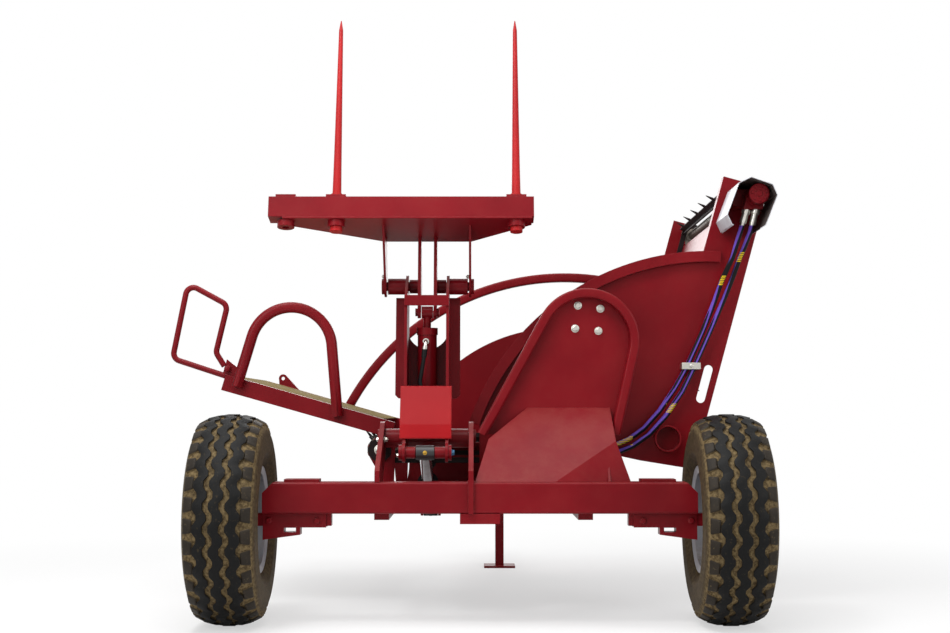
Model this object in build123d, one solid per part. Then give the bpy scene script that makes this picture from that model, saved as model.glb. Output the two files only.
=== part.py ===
"""Trailed round-bale feeder with a rear loading arm and a chain-and-slat conveyor."""
import math
import os

from build123d import *

# Driving dimensions in millimetres, on the axle frame: Y forward of the axle, Z above the ground
TYRE_RADIUS = 422.5
TYRE_WIDTH = 290.0
WHEEL_GAP = 10.0
HALF_TRACK = 997.0
RIM_SEAT = 194.0
RIM_HALF = 118.0
HUB_REACH = 127.0
AXLE_HALF = HALF_TRACK - HUB_REACH
AXLE_SIZE = 125.0
STUB_BAR = 50.0
SPINDLE_R = 25.0
FRAME_RISE = 72.5
FRAME_TOP = TYRE_RADIUS + FRAME_RISE
FIT = 0.05

ARM_X = -224.0
PIVOT_Y, PIVOT_Z = 330.0, 742.0
TOP_Y, TOP_Z = 430.0, 1397.0
EAR_Y, EAR_Z = 86.0, 687.0
LIFT_BASE_Y, LIFT_BASE_Z = 900.0, 402.0
TILT_EYE_Y, TILT_EYE_Z = 335.0, 1279.0
TILT_BASE_Y, TILT_BASE_Z = 345.0, 870.0
LUG_OFFSET = 188.0
LUG_THICK = 20.0
RIB_OFFSET = 88.0
RIB_THICK = 12.0
LEVER_OFFSET = 34.0
LEVER_THICK = 14.0
HEAD_PLATE_OFFSET = 183.0
HEAD_PLATE_THICK = 10.0
HEAD_LEAN = 12.0
BEAM_SIZE = 88.0
TINE_OFFSET = 377.0
TINE_LENGTH = 815.0
SPARE_OFFSET = -587.0

REAR_Y = 420.0
FRONT_Y = 1770.0
WALL_THICK = 6.0
WALL_RIM_R = 1092.0
WALL_RIM_X, WALL_RIM_Z = 988.0, 457.0
SIDE_LEAN = 15.5

CHAIN_R = 45.0
CHAIN_HALF = 12.0
TAIL_X, TAIL_Z = -430.0, 690.0
BEND_R = 612.0
DRIVE_X, DRIVE_Z = 1112.0, 1770.0
SLAT_COUNT = 15
SLAT_TALL = 30.0
SPIKE_TALL = 36.0
BEARING_R = 50.0

PLATFORM_SLOPE = 15.8
PLATFORM_X, PLATFORM_Z = -365.0, 808.0
PLATFORM_LENGTH = 762.0
PLATFORM_BEAM = 70.0

DRAWBAR_HALF = 75.0
DRAWBAR_LOW = FRAME_TOP - 88.0
DRAWBAR_END = 2780.0
TOW_EYE_Y = 2895.0
JACK_Y = 2330.0


def box(x0, x1, y0, y1, z0, z1):
    """Return a block between two corners."""
    return Pos((x0 + x1) / 2, (y0 + y1) / 2, (z0 + z1) / 2) * Box(x1 - x0, y1 - y0, z1 - z0)


def plate_yz(points, x0, x1):
    """Return a plate standing across the machine from an outline of (y, z) points."""
    face = make_face(Polyline(*[(x0, y, z) for y, z in points], close=True))
    return extrude(face, x1 - x0, dir=(1, 0, 0))


def plate_xz(points, y0, y1):
    """Return a plate standing along the machine from an outline of (x, z) points."""
    face = make_face(Polyline(*[(x, y0, z) for x, z in points], close=True))
    return extrude(face, y1 - y0, dir=(0, 1, 0))


def plate_xy(points, z0, z1):
    """Return a flat plate from an outline of (x, y) points."""
    face = make_face(Polyline(*[(x, y, z0) for x, y in points], close=True))
    return extrude(face, z1 - z0, dir=(0, 0, 1))


def disc_x(y, z, radius, x0, x1):
    """Return a round bar along X."""
    return Pos((x0 + x1) / 2, y, z) * Rot(0, 90, 0) * Cylinder(radius, x1 - x0)


def disc_y(x, z, radius, y0, y1):
    """Return a round bar along Y."""
    return Pos(x, (y0 + y1) / 2, z) * Rot(90, 0, 0) * Cylinder(radius, y1 - y0)


def disc_z(x, y, radius, z0, z1):
    """Return a round bar along Z."""
    return Pos(x, y, (z0 + z1) / 2) * Cylinder(radius, z1 - z0)


def bar(start, end, radius):
    """Return a round bar between two points."""
    run = Vector(*end) - Vector(*start)
    plane = Plane(origin=start, z_dir=run)
    return extrude(plane * Circle(radius), run.length)


def pipe(points, bend, radius):
    """Return a round bar along straight runs with tangent bends."""
    path = FilletPolyline(*points, radius=bend)
    return sweep(Plane(path @ 0, z_dir=path % 0) * Circle(radius), path)


def flat_pipe(points, bend, across, deep):
    """Return a bent flat or square bar whose bends lie in the XZ plane."""
    path = FilletPolyline(*points, radius=bend)
    section = Plane(path @ 0, x_dir=(0, 1, 0), z_dir=path % 0) * Rectangle(deep, across)
    return sweep(section, path)


def touch(point, centre, radius, side):
    """Return where a line from a point touches a circle, on side 1 or -1."""
    dy, dz = point[0] - centre[0], point[1] - centre[1]
    gap = math.hypot(dy, dz)
    turn = math.atan2(dz, dy) + side * math.acos(radius / gap)
    return centre[0] + radius * math.cos(turn), centre[1] + radius * math.sin(turn)


def mirrored(shape):
    """Return the same shape on the other side of the machine."""
    return mirror(shape, about=Plane.YZ)


parts = {}

# Wheels: tyre, rim and hub in a local frame with the spin axis along X, then placed
half = TYRE_WIDTH / 2
bead = RIM_HALF - 12.0
section = TYRE_RADIUS - RIM_SEAT
belly = RIM_SEAT + section * 0.485777
below_belly, above_belly = belly - section * 0.188184, belly + section * 0.218818
inner_low, inner_belly = RIM_SEAT + section * 0.201313, RIM_SEAT + section * 0.463895
inner_high, inner_top = TYRE_RADIUS - 42.5, TYRE_RADIUS - 22.5
tyre_outline = [
    (-bead, RIM_SEAT), (-bead, RIM_SEAT + 30.0), (-half + 8.0, below_belly), (-half, belly), (-half + 8.0, above_belly),
    (-half + 18.0, TYRE_RADIUS - 36.0), (-92.0, TYRE_RADIUS - 16.0), (-48.0, TYRE_RADIUS - 4.5),
    (-20.0, TYRE_RADIUS), (20.0, TYRE_RADIUS), (48.0, TYRE_RADIUS - 4.5), (92.0, TYRE_RADIUS - 16.0),
    (half - 18.0, TYRE_RADIUS - 36.0), (half - 8.0, above_belly), (half, belly), (half - 8.0, below_belly),
    (bead, RIM_SEAT + 30.0), (bead, RIM_SEAT), (bead - 18.0, RIM_SEAT), (bead - 14.0, inner_low),
    (half - 24.0, inner_belly), (half - 34.0, inner_high), (0.0, inner_top), (-half + 34.0, inner_high),
    (-half + 24.0, inner_belly), (-bead + 14.0, inner_low), (-bead + 18.0, RIM_SEAT)]
rim_outline = [
    (-RIM_HALF, 214.0), (-bead, 214.0), (-bead, RIM_SEAT), (-62.0, RIM_SEAT), (-48.0, 168.0), (48.0, 168.0),
    (62.0, RIM_SEAT), (bead, RIM_SEAT), (bead, 214.0), (RIM_HALF, 214.0), (RIM_HALF, 208.0), (bead + 4.0, 188.0),
    (66.0, 188.0), (52.0, 162.0), (23.0, 162.0), (23.0, 53.0), (15.0, 53.0), (15.0, 162.0), (-52.0, 162.0),
    (-66.0, 188.0), (-bead - 4.0, 188.0), (-RIM_HALF, 208.0)]
hub_outline = [
    (-85.0, SPINDLE_R + FIT), (-85.0, 52.0), (3.0, 52.0), (3.0, 95.0), (15.0, 95.0), (15.0, 52.0), (62.0, 52.0),
    (70.0, 44.0), (70.0, 0.0), (46.0, 0.0), (46.0, SPINDLE_R + FIT)]


def spun(outline):
    """Return a body of revolution about X from an outline of (x, radius) points."""
    face = make_face(Polyline(*[(x, 0, r) for x, r in outline], close=True))
    return revolve(face, axis=Axis.X)


rim_holes = [Rot(45 + 90 * i, 0, 0) * disc_x(0, 132.0, 18.0, 10.0, 28.0) for i in range(4)]
wheel = {"tyre": spun(tyre_outline), "rim": spun(rim_outline) - rim_holes, "hub": spun(hub_outline)}
for piece, shape in wheel.items():
    parts[f"{piece}_right"] = Pos(HALF_TRACK, 0, TYRE_RADIUS) * shape
    parts[f"{piece}_left"] = mirrored(parts[f"{piece}_right"])

# Axle beam with stub bars, carriers and tie-down straps
axle_half = AXLE_SIZE / 2
axle_low = TYRE_RADIUS + STUB_BAR / 2
axle_top = axle_low + AXLE_SIZE
axle_wall = 8.0
axle_cut = 42.0
beam = box(-AXLE_HALF, AXLE_HALF, -axle_half, axle_half, axle_low, axle_top)
beam = fillet(beam.edges().filter_by(Axis.X), 10.0)
hollow = box(-AXLE_HALF + 60, AXLE_HALF - 60, -axle_half + axle_wall, axle_half - axle_wall,
             axle_low + axle_wall, axle_top - axle_wall)
drain = disc_z(0, 0, 8.0, axle_low - 1, axle_low + 2 * axle_wall)
corner = plate_xz([(AXLE_HALF - axle_cut, axle_top), (AXLE_HALF, axle_top), (AXLE_HALF, axle_top - axle_cut)],
                  -axle_half, axle_half)
pad_half, pad_tall = 45.0, 12.0
axle_pad = box(AXLE_HALF - 225.0, AXLE_HALF - 85.0, -pad_half, pad_half, axle_top, axle_top + pad_tall)
parts["axle_beam"] = beam - hollow - drain - corner - mirrored(corner) + axle_pad + mirrored(axle_pad)

stub_half = STUB_BAR / 2
stub_end = HALF_TRACK - 92.0
carrier_in, carrier_skin = AXLE_HALF - 254.0, 8.0
stub = box(carrier_in - 20, stub_end, -stub_half, stub_half, axle_low - STUB_BAR, axle_low)
stub += disc_x(0, TYRE_RADIUS, SPINDLE_R, stub_end, HALF_TRACK + 42.0)
sides = [box(carrier_in, AXLE_HALF, y0, y0 + carrier_skin, axle_low - STUB_BAR - 6, axle_low)
         for y0 in (-stub_half - carrier_skin, stub_half)]
strap_top = axle_low - STUB_BAR
strap_half = stub_half + carrier_skin
strap_in = AXLE_HALF - 150.0
strap = plate_xz([(AXLE_HALF, strap_top), (AXLE_HALF, strap_top - 55.0), (strap_in, strap_top - 35.0),
                  (strap_in, strap_top)], -strap_half, strap_half)
strap -= box(strap_in + 17.0, strap_in + 65.0, -strap_half - 1, strap_half + 1, strap_top - 24.0, strap_top - 7.0)
parts["stub_axles"] = Compound(children=[stub, mirrored(stub)])
carrier = sides[0] + sides[1] + strap
parts["stub_carriers"] = carrier + mirrored(carrier)

# Chassis: drawbar with its saddle, bearers, cross members and tow eye
drawbar = box(-DRAWBAR_HALF, DRAWBAR_HALF, axle_half, DRAWBAR_END, DRAWBAR_LOW, FRAME_TOP)
drawbar = fillet(drawbar.edges().filter_by(Axis.Y), 8.0)
drawbar -= box(-DRAWBAR_HALF + 8, DRAWBAR_HALF - 8, axle_half + 20, DRAWBAR_END, DRAWBAR_LOW + 8, FRAME_TOP - 8)
parts["drawbar"] = drawbar + box(-80.0, 80.0, -axle_half, axle_half + 20, DRAWBAR_LOW, axle_low)
cross_y0 = FRONT_Y - 80.0
bearer_low = FRAME_TOP - 80.0
bearers = [box(x0, x0 + 60.0, axle_half, cross_y0, bearer_low, FRAME_TOP) for x0 in (-430.0, 400.0)]
front_cross = [box(x0, x1, cross_y0, FRONT_Y + WALL_THICK, bearer_low, FRAME_TOP)
               for x0, x1 in ((-430.0, -DRAWBAR_HALF), (DRAWBAR_HALF, 460.0))]
parts["frame_rails"] = Compound(children=[bearers[0] + front_cross[0], bearers[1] + front_cross[1]])
anchor_y0, anchor_y1 = LIFT_BASE_Y + 50.0, LIFT_BASE_Y + 110.0
anchor_beam = box(-370.0, -DRAWBAR_HALF, anchor_y0, anchor_y1, bearer_low, FRAME_TOP)
anchor_gap = 34.0
anchor_pin_r = 16.0
anchor_plates = []
for x0 in (ARM_X - anchor_gap - 12.0, ARM_X + anchor_gap):
    outline = [(anchor_y0, bearer_low), (anchor_y0, FRAME_TOP - 30), (LIFT_BASE_Y - 30, LIFT_BASE_Z + 10),
               (LIFT_BASE_Y - 20, LIFT_BASE_Z - 24), (LIFT_BASE_Y + 20, LIFT_BASE_Z - 24)]
    gusset = [(LIFT_BASE_Y + 20, LIFT_BASE_Z - 24), (anchor_y1, bearer_low), (anchor_y0, bearer_low)]
    anchor_plates.append(plate_yz(outline, x0, x0 + 12.0) + plate_yz(gusset, x0, x0 + 12.0))
anchor_pin = disc_x(LIFT_BASE_Y, LIFT_BASE_Z, anchor_pin_r, ARM_X - anchor_gap - 12, ARM_X + anchor_gap + 12)
parts["cylinder_anchor"] = anchor_beam + anchor_plates[0] + anchor_plates[1] + anchor_pin

eye_z = (DRAWBAR_LOW + FRAME_TOP) / 2
eye_half = 18.0
eye = box(-DRAWBAR_HALF, DRAWBAR_HALF, DRAWBAR_END, DRAWBAR_END + 20, DRAWBAR_LOW, FRAME_TOP)
eye += box(-40.0, 40.0, DRAWBAR_END + 20, TOW_EYE_Y, eye_z - eye_half, eye_z + eye_half)
eye += disc_z(0, TOW_EYE_Y, 58.0, eye_z - eye_half, eye_z + eye_half)
parts["tow_eye"] = eye - disc_z(0, TOW_EYE_Y, 26.0, eye_z - 40, eye_z + 40)

# Parking jack: a square sleeve on the drawbar and a sliding leg with a foot
jack_x = DRAWBAR_HALF + 40.0
jack_half = 30.0
jack_top, sleeve_low, leg_top = FRAME_TOP + 385.0, FRAME_TOP - 165.0, FRAME_TOP - 15.0
sleeve = box(jack_x - jack_half, jack_x + jack_half, JACK_Y - jack_half, JACK_Y + jack_half, sleeve_low, jack_top)
leg_half = 23.0
sleeve -= box(jack_x - leg_half - FIT, jack_x + leg_half + FIT, JACK_Y - leg_half - FIT,
              JACK_Y + leg_half + FIT, sleeve_low - 10, jack_top - 10)
sleeve += box(DRAWBAR_HALF, jack_x - jack_half, JACK_Y - 40, JACK_Y + 40, DRAWBAR_LOW + 10, FRAME_TOP - 8)
sleeve += bar((jack_x, JACK_Y, jack_top), (jack_x, JACK_Y, jack_top + 24), 12.0)
sleeve += bar((jack_x, JACK_Y, jack_top + 18), (jack_x + 150, JACK_Y, jack_top + 18), 7.0)
sleeve += bar((jack_x + 143, JACK_Y, jack_top + 12), (jack_x + 143, JACK_Y, jack_top + 95), 10.0)
parts["jack_sleeve"] = sleeve
leg = box(jack_x - leg_half, jack_x + leg_half, JACK_Y - leg_half, JACK_Y + leg_half, 12.0, leg_top)
leg += box(jack_x - 85, jack_x + 85, JACK_Y - 75, JACK_Y + 75, 0.0, 12.0)
parts["jack_leg"] = leg

# Pivot lugs on the axle; the right one also runs down the rear face of the beam
pivot = (PIVOT_Y, PIVOT_Z)
lug_r, pin_r = 70.0, 25.0
lugs = []
for side, rear, low in ((-1, -58.0, axle_top), (1, -78.0, axle_low)):
    kink = (rear, axle_top + 46.0)
    foot = (axle_half, FRAME_TOP + 10)
    outline = [kink, touch(kink, pivot, lug_r, -1), pivot, touch(foot, pivot, lug_r, 1), foot,
               (axle_half, axle_top)]
    if side > 0:
        outline += [(-axle_half, axle_top), (-axle_half, low), (rear, low)]
    else:
        outline += [(rear, axle_top)]
    x0 = ARM_X + side * LUG_OFFSET - LUG_THICK / 2
    lug = plate_yz(outline, x0, x0 + LUG_THICK) + disc_x(*pivot, lug_r, x0, x0 + LUG_THICK)
    lugs.append(lug - disc_x(*pivot, pin_r, x0 - 1, x0 + LUG_THICK + 1) - parts["axle_beam"])
parts["pivot_lugs"] = Compound(children=lugs)
pin_end = LUG_OFFSET + LUG_THICK / 2
pivot_pin = disc_x(*pivot, pin_r, ARM_X - pin_end, ARM_X + pin_end)
pivot_pin += disc_x(*pivot, 38.0, ARM_X - pin_end - 10, ARM_X - pin_end)
parts["pivot_pin"] = pivot_pin + disc_x(*pivot, 38.0, ARM_X + pin_end, ARM_X + pin_end + 10)

# Lift arm: base tube, two ribs with ears, back plate, cross bar, cover and top bosses
top = (TOP_Y, TOP_Z)
ear = (EAR_Y, EAR_Z)
tube_r, boss_r, ear_r, top_pin_r = 40.0, 35.0, 40.0, 20.0
tube_half = LUG_OFFSET - LUG_THICK / 2 - 3.0
base_tube = disc_x(*pivot, tube_r, ARM_X - tube_half, ARM_X + tube_half) - disc_x(
    *pivot, pin_r + FIT, ARM_X - tube_half - 1, ARM_X + tube_half + 1)
lean = math.atan2(TOP_Y - PIVOT_Y, TOP_Z - PIVOT_Z)
along = (math.sin(lean), math.cos(lean))
ahead = (math.cos(lean), -math.sin(lean))
front_gap = 46.0
bar_y, bar_z0, bar_z1 = TOP_Y - 180.0, 1302.0, 1346.0
cover_top, cover_low, cover_fold = (212.0, 960.0), (118.0, 742.0), (136.0, 800.0)


def ahead_of(point, reach):
    """Return a (y, z) point moved square to the arm."""
    return point[0] + ahead[0] * reach, point[1] + ahead[1] * reach


rib_outline = [cover_low, cover_fold, cover_top, (bar_y, bar_z0), (bar_y, bar_z1), touch((bar_y, bar_z1), top, 48.0, -1),
               top, ahead_of(top, front_gap), ahead_of(pivot, front_gap), (PIVOT_Y + 20, PIVOT_Z - 62),
               touch((PIVOT_Y + 20, PIVOT_Z - 62), ear, ear_r, -1), ear]
ribs = []
for side in (-1, 1):
    x0 = ARM_X + side * RIB_OFFSET - RIB_THICK / 2
    rib = plate_yz(rib_outline, x0, x0 + RIB_THICK) + disc_x(*top, 48.0, x0, x0 + RIB_THICK)
    rib += disc_x(*ear, ear_r, x0, x0 + RIB_THICK)
    rib -= disc_x(*pivot, tube_r, x0 - 1, x0 + RIB_THICK + 1) + disc_x(*top, boss_r, x0 - 1, x0 + RIB_THICK + 1)
    ribs.append(rib)
parts["arm_ribs"] = Compound(children=ribs)
rib_in = RIB_OFFSET - RIB_THICK / 2
rib_out = RIB_OFFSET + RIB_THICK / 2
back_half, back_thick = 140.0, 8.0
arm_length = math.hypot(TOP_Y - PIVOT_Y, TOP_Z - PIVOT_Z)
back_top, back_low, back_cut, notch_top, notch_low = arm_length - 40.0, 180.0, 14.0, 450.0, 395.0
back_lines = [ThreePointArc((rib_in, notch_top), (0, notch_low), (-rib_in, notch_top))]
back_lines += Polyline((-rib_in, notch_top), (-rib_in, back_top), (-back_half, back_top),
                       (-back_half, back_low + back_cut), (-back_half + back_cut, back_low),
                       (back_half - back_cut, back_low), (back_half, back_low + back_cut),
                       (back_half, back_top), (rib_in, back_top), (rib_in, notch_top)).edges()
back_plane = Plane(origin=(ARM_X, *ahead_of(pivot, front_gap)), x_dir=(-1, 0, 0), z_dir=(0, *ahead))
back_face = make_face(back_lines)
parts["arm_back_plate"] = extrude(back_plane * back_face, back_thick, dir=(0, *ahead))
parts["arm_cross_bar"] = box(ARM_X - rib_out, ARM_X + rib_out, bar_y - 12, bar_y, bar_z0, bar_z1)
cover_thick = 8.0
cover_back = [(y - cover_thick, z + 2) for y, z in (cover_top, cover_fold, cover_low)]
parts["arm_cover_plate"] = plate_yz([cover_low, cover_fold, cover_top] + cover_back, ARM_X - 107, ARM_X + 107)
boss_out = HEAD_PLATE_OFFSET - HEAD_PLATE_THICK / 2 - 5.0
bosses = [base_tube]
for side in (-1, 1):
    x0, x1 = sorted((ARM_X + side * rib_in, ARM_X + side * boss_out))
    bosses.append(disc_x(*top, boss_r, x0, x1) - disc_x(*top, top_pin_r + FIT, x0 - 1, x1 + 1))
parts["arm_pivot_tubes"] = Compound(children=bosses)
eye_half_width = 37.0
spacers = []
for side in (-1, 1):
    x0, x1 = sorted((ARM_X + side * (eye_half_width + 2), ARM_X + side * rib_in))
    cap0, cap1 = sorted((ARM_X + side * rib_out, ARM_X + side * (rib_out + 14)))
    spacers.append(disc_x(*ear, 24.0, x0, x1))
    spacers.append(disc_x(*ear, 32.0, cap0, cap1))
tilt_base = (TILT_BASE_Y, TILT_BASE_Z)
spacers.append(disc_x(*tilt_base, 14.0, ARM_X - rib_in, ARM_X + rib_in))
parts["arm_pins"] = Compound(children=spacers)


def cylinder_set(base, eye_point, widths):
    """Return the barrel and rod of a cylinder lying in the YZ plane of the arm."""
    run = math.hypot(eye_point[0] - base[0], eye_point[1] - base[1])
    way = ((eye_point[0] - base[0]) / run, (eye_point[1] - base[1]) / run)
    barrel_r, rod_r, eye_r, base_r, pin, half_base, half_eye, gland, rod_start = widths

    def at(reach):
        return ARM_X, base[0] + way[0] * reach, base[1] + way[1] * reach

    barrel = bar(at(base_r + 26), at(gland), barrel_r) + disc_x(*base, base_r, ARM_X - half_base, ARM_X + half_base)
    barrel += bar(at(gland - 30), at(gland), barrel_r + 4)
    barrel += bar(at(0), at(base_r + 28), half_base - 4)
    barrel -= disc_x(*base, pin + FIT, ARM_X - half_base - 1, ARM_X + half_base + 1)
    barrel -= bar(at(base_r + 8), at(gland + 1), rod_r + FIT)
    rod = bar(at(rod_start), at(run), rod_r) + disc_x(*eye_point, eye_r, ARM_X - half_eye, ARM_X + half_eye)
    return barrel, rod


# Columns: radius of barrel, rod, eye, base eye and pin; half width of base and eye; reach of gland and rod start
lift_sizes = (42.0, 25.0, 30.0, 26.0, anchor_pin_r, 32.0, eye_half_width, 446.0, 412.0)
tilt_sizes = (41.0, 16.0, 26.0, 30.0, 14.0, 30.0, 24.0, 342.0, 82.0)
parts["lift_barrel"], parts["lift_rod"] = cylinder_set((LIFT_BASE_Y, LIFT_BASE_Z), ear, lift_sizes)
parts["tilt_barrel"], parts["tilt_rod"] = cylinder_set(tilt_base, (TILT_EYE_Y, TILT_EYE_Z), tilt_sizes)
port_top, port_low = (ARM_X - 4, 296.6, 1152), (ARM_X - 16, 302.5, 935)
tilt_points = [port_top, (ARM_X - 4, 256, 1152), (ARM_X - 14, 256, 1066), (ARM_X - 28, 262, 985),
               (ARM_X - 22, 262, 935), port_low]
tilt_hose = pipe(tilt_points, 20.0, 8.5) + bar(port_top, (ARM_X - 4, 278, 1152), 13.0)
parts["tilt_hose"] = tilt_hose + bar((ARM_X - 6.4, 256, 1131), (ARM_X - 12, 256, 1083), 11.5)

# Spear head, drawn in a frame at the top pivot with n ahead and t along the tines
head_turn = math.radians(HEAD_LEAN)
tine_way = (math.sin(head_turn), math.cos(head_turn))
head_way = (math.cos(head_turn), -math.sin(head_turn))
BEAM_N, BEAM_T = -307.0, 244.0
TUBE_N, TUBE_T, TUBE_SIZE = -71.0, 216.0, 62.0
wing_thick = 8.0


def head(n, t):
    """Return the (y, z) of a point of the head frame."""
    return TOP_Y + n * head_way[0] + t * tine_way[0], TOP_Z + n * head_way[1] + t * tine_way[1]


def head_box(x0, x1, n0, n1, t0, t1):
    """Return a block of the head frame, with x from the arm centre."""
    return plate_yz([head(n0, t0), head(n1, t0), head(n1, t1), head(n0, t1)], ARM_X + x0, ARM_X + x1)


def head_bar(x, n, t0, t1, r0, r1):
    """Return a round or tapered bar along the tines."""
    plane = Plane(origin=(ARM_X + x, *head(n, t0)), x_dir=(1, 0, 0), z_dir=(0, *tine_way))
    if r0 == r1:
        return extrude(plane * Circle(r0), t1 - t0)
    return loft([plane * Circle(r0), plane.offset(t1 - t0) * Circle(r1)])


beam_low, beam_high = BEAM_T - BEAM_SIZE / 2, BEAM_T + BEAM_SIZE / 2
beam_rear, beam_front = BEAM_N - BEAM_SIZE / 2, BEAM_N + BEAM_SIZE / 2
BEAM_LEFT, BEAM_RIGHT = -658.0, 450.0
pad_thick, shank_r = 10.0, 16.0
head_beam = head_box(BEAM_LEFT, BEAM_RIGHT, beam_rear, beam_front, beam_low, beam_high)
head_beam -= head_box(BEAM_LEFT - 1, BEAM_RIGHT + 1, beam_rear + 6, beam_front - 6, beam_low + 6, beam_high - 6)
plate_out = HEAD_PLATE_OFFSET + HEAD_PLATE_THICK / 2
plate_in = HEAD_PLATE_OFFSET - HEAD_PLATE_THICK / 2
wing_low = beam_low - wing_thick
wing_front = TUBE_N + TUBE_SIZE / 2
wing = extrude(
    Plane(origin=(ARM_X, *head(0, wing_low)), x_dir=(1, 0, 0), z_dir=(0, *tine_way)) * make_face(Polyline(
        (BEAM_LEFT + 60, beam_rear), (BEAM_RIGHT - 8, beam_rear), (BEAM_RIGHT - 8, beam_front), (plate_out, wing_front),
        (-plate_out, wing_front), (BEAM_LEFT + 60, beam_front), close=True)), wing_thick)
pads = []
for x, wide in ((-TINE_OFFSET, 84.0), (TINE_OFFSET, 84.0), (SPARE_OFFSET, 84.0)):
    top_pad = head_box(x - wide / 2, x + wide / 2, beam_rear, beam_front, beam_high, beam_high + pad_thick)
    pads.append(top_pad - head_bar(x, BEAM_N, beam_high - 1, beam_high + pad_thick + 1, shank_r, shank_r))
    low_pad = head_bar(x, BEAM_N, wing_low - 26, wing_low, 36.0, 36.0)
    pads.append(low_pad - head_bar(x, BEAM_N, wing_low - 27, wing_low + 1, shank_r, shank_r))
    hole = head_bar(x, BEAM_N, wing_low - 1, beam_high + 1, shank_r, shank_r)
    head_beam -= hole
    wing -= hole
parts["head_beam"] = head_beam
parts["tine_pads"] = Compound(children=pads)
side_outline = [head(wing_front, wing_low), head(wing_front, TUBE_T + TUBE_SIZE / 2), head(TUBE_N - 40, beam_high - 20),
                head(beam_front, beam_high - 20), head(beam_front, wing_low), head(beam_front + 60, wing_low - 60)]
side_outline += [touch(head(beam_front + 60, wing_low - 60), top, 46.0, 1), top,
                 touch(head(wing_front, wing_low), top, 46.0, -1)]
head_sides = []
for side in (-1, 1):
    x0 = ARM_X + side * HEAD_PLATE_OFFSET - HEAD_PLATE_THICK / 2
    plate = plate_yz(side_outline, x0, x0 + HEAD_PLATE_THICK) + disc_x(*top, 46.0, x0, x0 + HEAD_PLATE_THICK)
    head_sides.append(plate - disc_x(*top, top_pin_r, x0 - 1, x0 + HEAD_PLATE_THICK + 1))
parts["head_wing"] = wing - head_sides[0] - head_sides[1]
parts["head_sides"] = Compound(children=head_sides)
tube = head_box(-plate_in, plate_in, TUBE_N - TUBE_SIZE / 2, TUBE_N + TUBE_SIZE / 2, beam_low, beam_low + TUBE_SIZE)
parts["head_cross_tube"] = tube
tilt_eye = (TILT_EYE_Y, TILT_EYE_Z)
lever_r = 26.0
lever_low = head(wing_front, wing_low)
lever_rear = head(TUBE_N - TUBE_SIZE / 2, wing_low)
levers, head_pins = [], []
for side in (-1, 1):
    x0 = ARM_X + side * LEVER_OFFSET - LEVER_THICK / 2
    outline = [lever_rear, touch(lever_rear, tilt_eye, lever_r, 1), tilt_eye, touch(top, tilt_eye, lever_r, -1), top,
               touch(lever_low, top, 34.0, -1), lever_low]
    lever = plate_yz(outline, x0, x0 + LEVER_THICK) + disc_x(*top, 34.0, x0, x0 + LEVER_THICK)
    lever += disc_x(*tilt_eye, lever_r, x0, x0 + LEVER_THICK)
    c0, c1 = sorted((ARM_X + side * (LEVER_OFFSET + LEVER_THICK / 2), ARM_X + side * (rib_in - 3)))
    lever += disc_x(*top, 30.0, c0, c1)
    p0, p1 = sorted((ARM_X + side * (LEVER_OFFSET - LEVER_THICK / 2), ARM_X + side * (plate_out + 12)))
    levers.append(lever - disc_x(*top, top_pin_r, p0 - 1, p1 + 1))
    h0, h1 = sorted((ARM_X + side * plate_out, ARM_X + side * (plate_out + 12)))
    head_pins.append(disc_x(*top, top_pin_r, p0, p1) + disc_x(*top, 34.0, h0, h1))
    e0, e1 = sorted((ARM_X + side * (LEVER_OFFSET + LEVER_THICK / 2), ARM_X + side * (LEVER_OFFSET + 17)))
    head_pins.append(disc_x(*tilt_eye, 17.0, e0, e1))
parts["head_levers"] = Compound(children=levers)
parts["head_pins"] = Compound(children=head_pins)
for name, x in (("tine_left", -TINE_OFFSET), ("tine_right", TINE_OFFSET)):
    seat = beam_high + pad_thick
    tine = head_bar(x, BEAM_N, wing_low - 46, seat, shank_r, shank_r)
    tine += head_bar(x, BEAM_N, wing_low - 46, wing_low - 26, 26.0, 26.0)
    tine += head_bar(x, BEAM_N, seat, seat + 14, 25.0, 25.0)
    tine += head_bar(x, BEAM_N, seat + 14, seat + 120, 19.0, 17.0)
    tine += head_bar(x, BEAM_N, seat + 120, seat + TINE_LENGTH - 45, 17.0, 9.0)
    parts[name] = tine + head_bar(x, BEAM_N, seat + TINE_LENGTH - 45, seat + TINE_LENGTH, 9.0, 2.0)

# Cradle walls, the rolled rim of the rear wall, the front arc rail and the torsion tube
side_turn = math.radians(SIDE_LEAN)
up_way = (math.sin(side_turn), math.cos(side_turn))
out_way = (-math.cos(side_turn), math.sin(side_turn))
EDGE_GAP, BOX_DEPTH = 75.0, 200.0
END_REACH = 92.0


def side_point(up, out):
    """Return an (x, z) point measured from the drive shaft along and square to the steep side."""
    return DRIVE_X + up_way[0] * up + out_way[0] * out, DRIVE_Z + up_way[1] * up + out_way[1] * out


head_left = side_point(END_REACH, EDGE_GAP)
head_right = side_point(END_REACH, EDGE_GAP - BOX_DEPTH)
RIM_WIDE, RIM_DEEP = 46.0, 34.0
RIM_START, RIM_END, WALL_END = 161.0, 87.0, 91.0
low_right = side_point(-1100.0, EDGE_GAP - BOX_DEPTH)


def rim_point(angle, radius):
    """Return an (x, z) point of the rear wall's rim arc."""
    turn = math.radians(angle)
    return WALL_RIM_X + radius * math.cos(turn), WALL_RIM_Z + radius * math.sin(turn)


def on_xz(lines, y0, y1):
    """Return a plate along the machine from lines drawn in (x, z)."""
    face = Plane.XZ * make_face(lines)
    return extrude(Pos(0, y0, 0) * face, y1 - y0, dir=(0, 1, 0))


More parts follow.
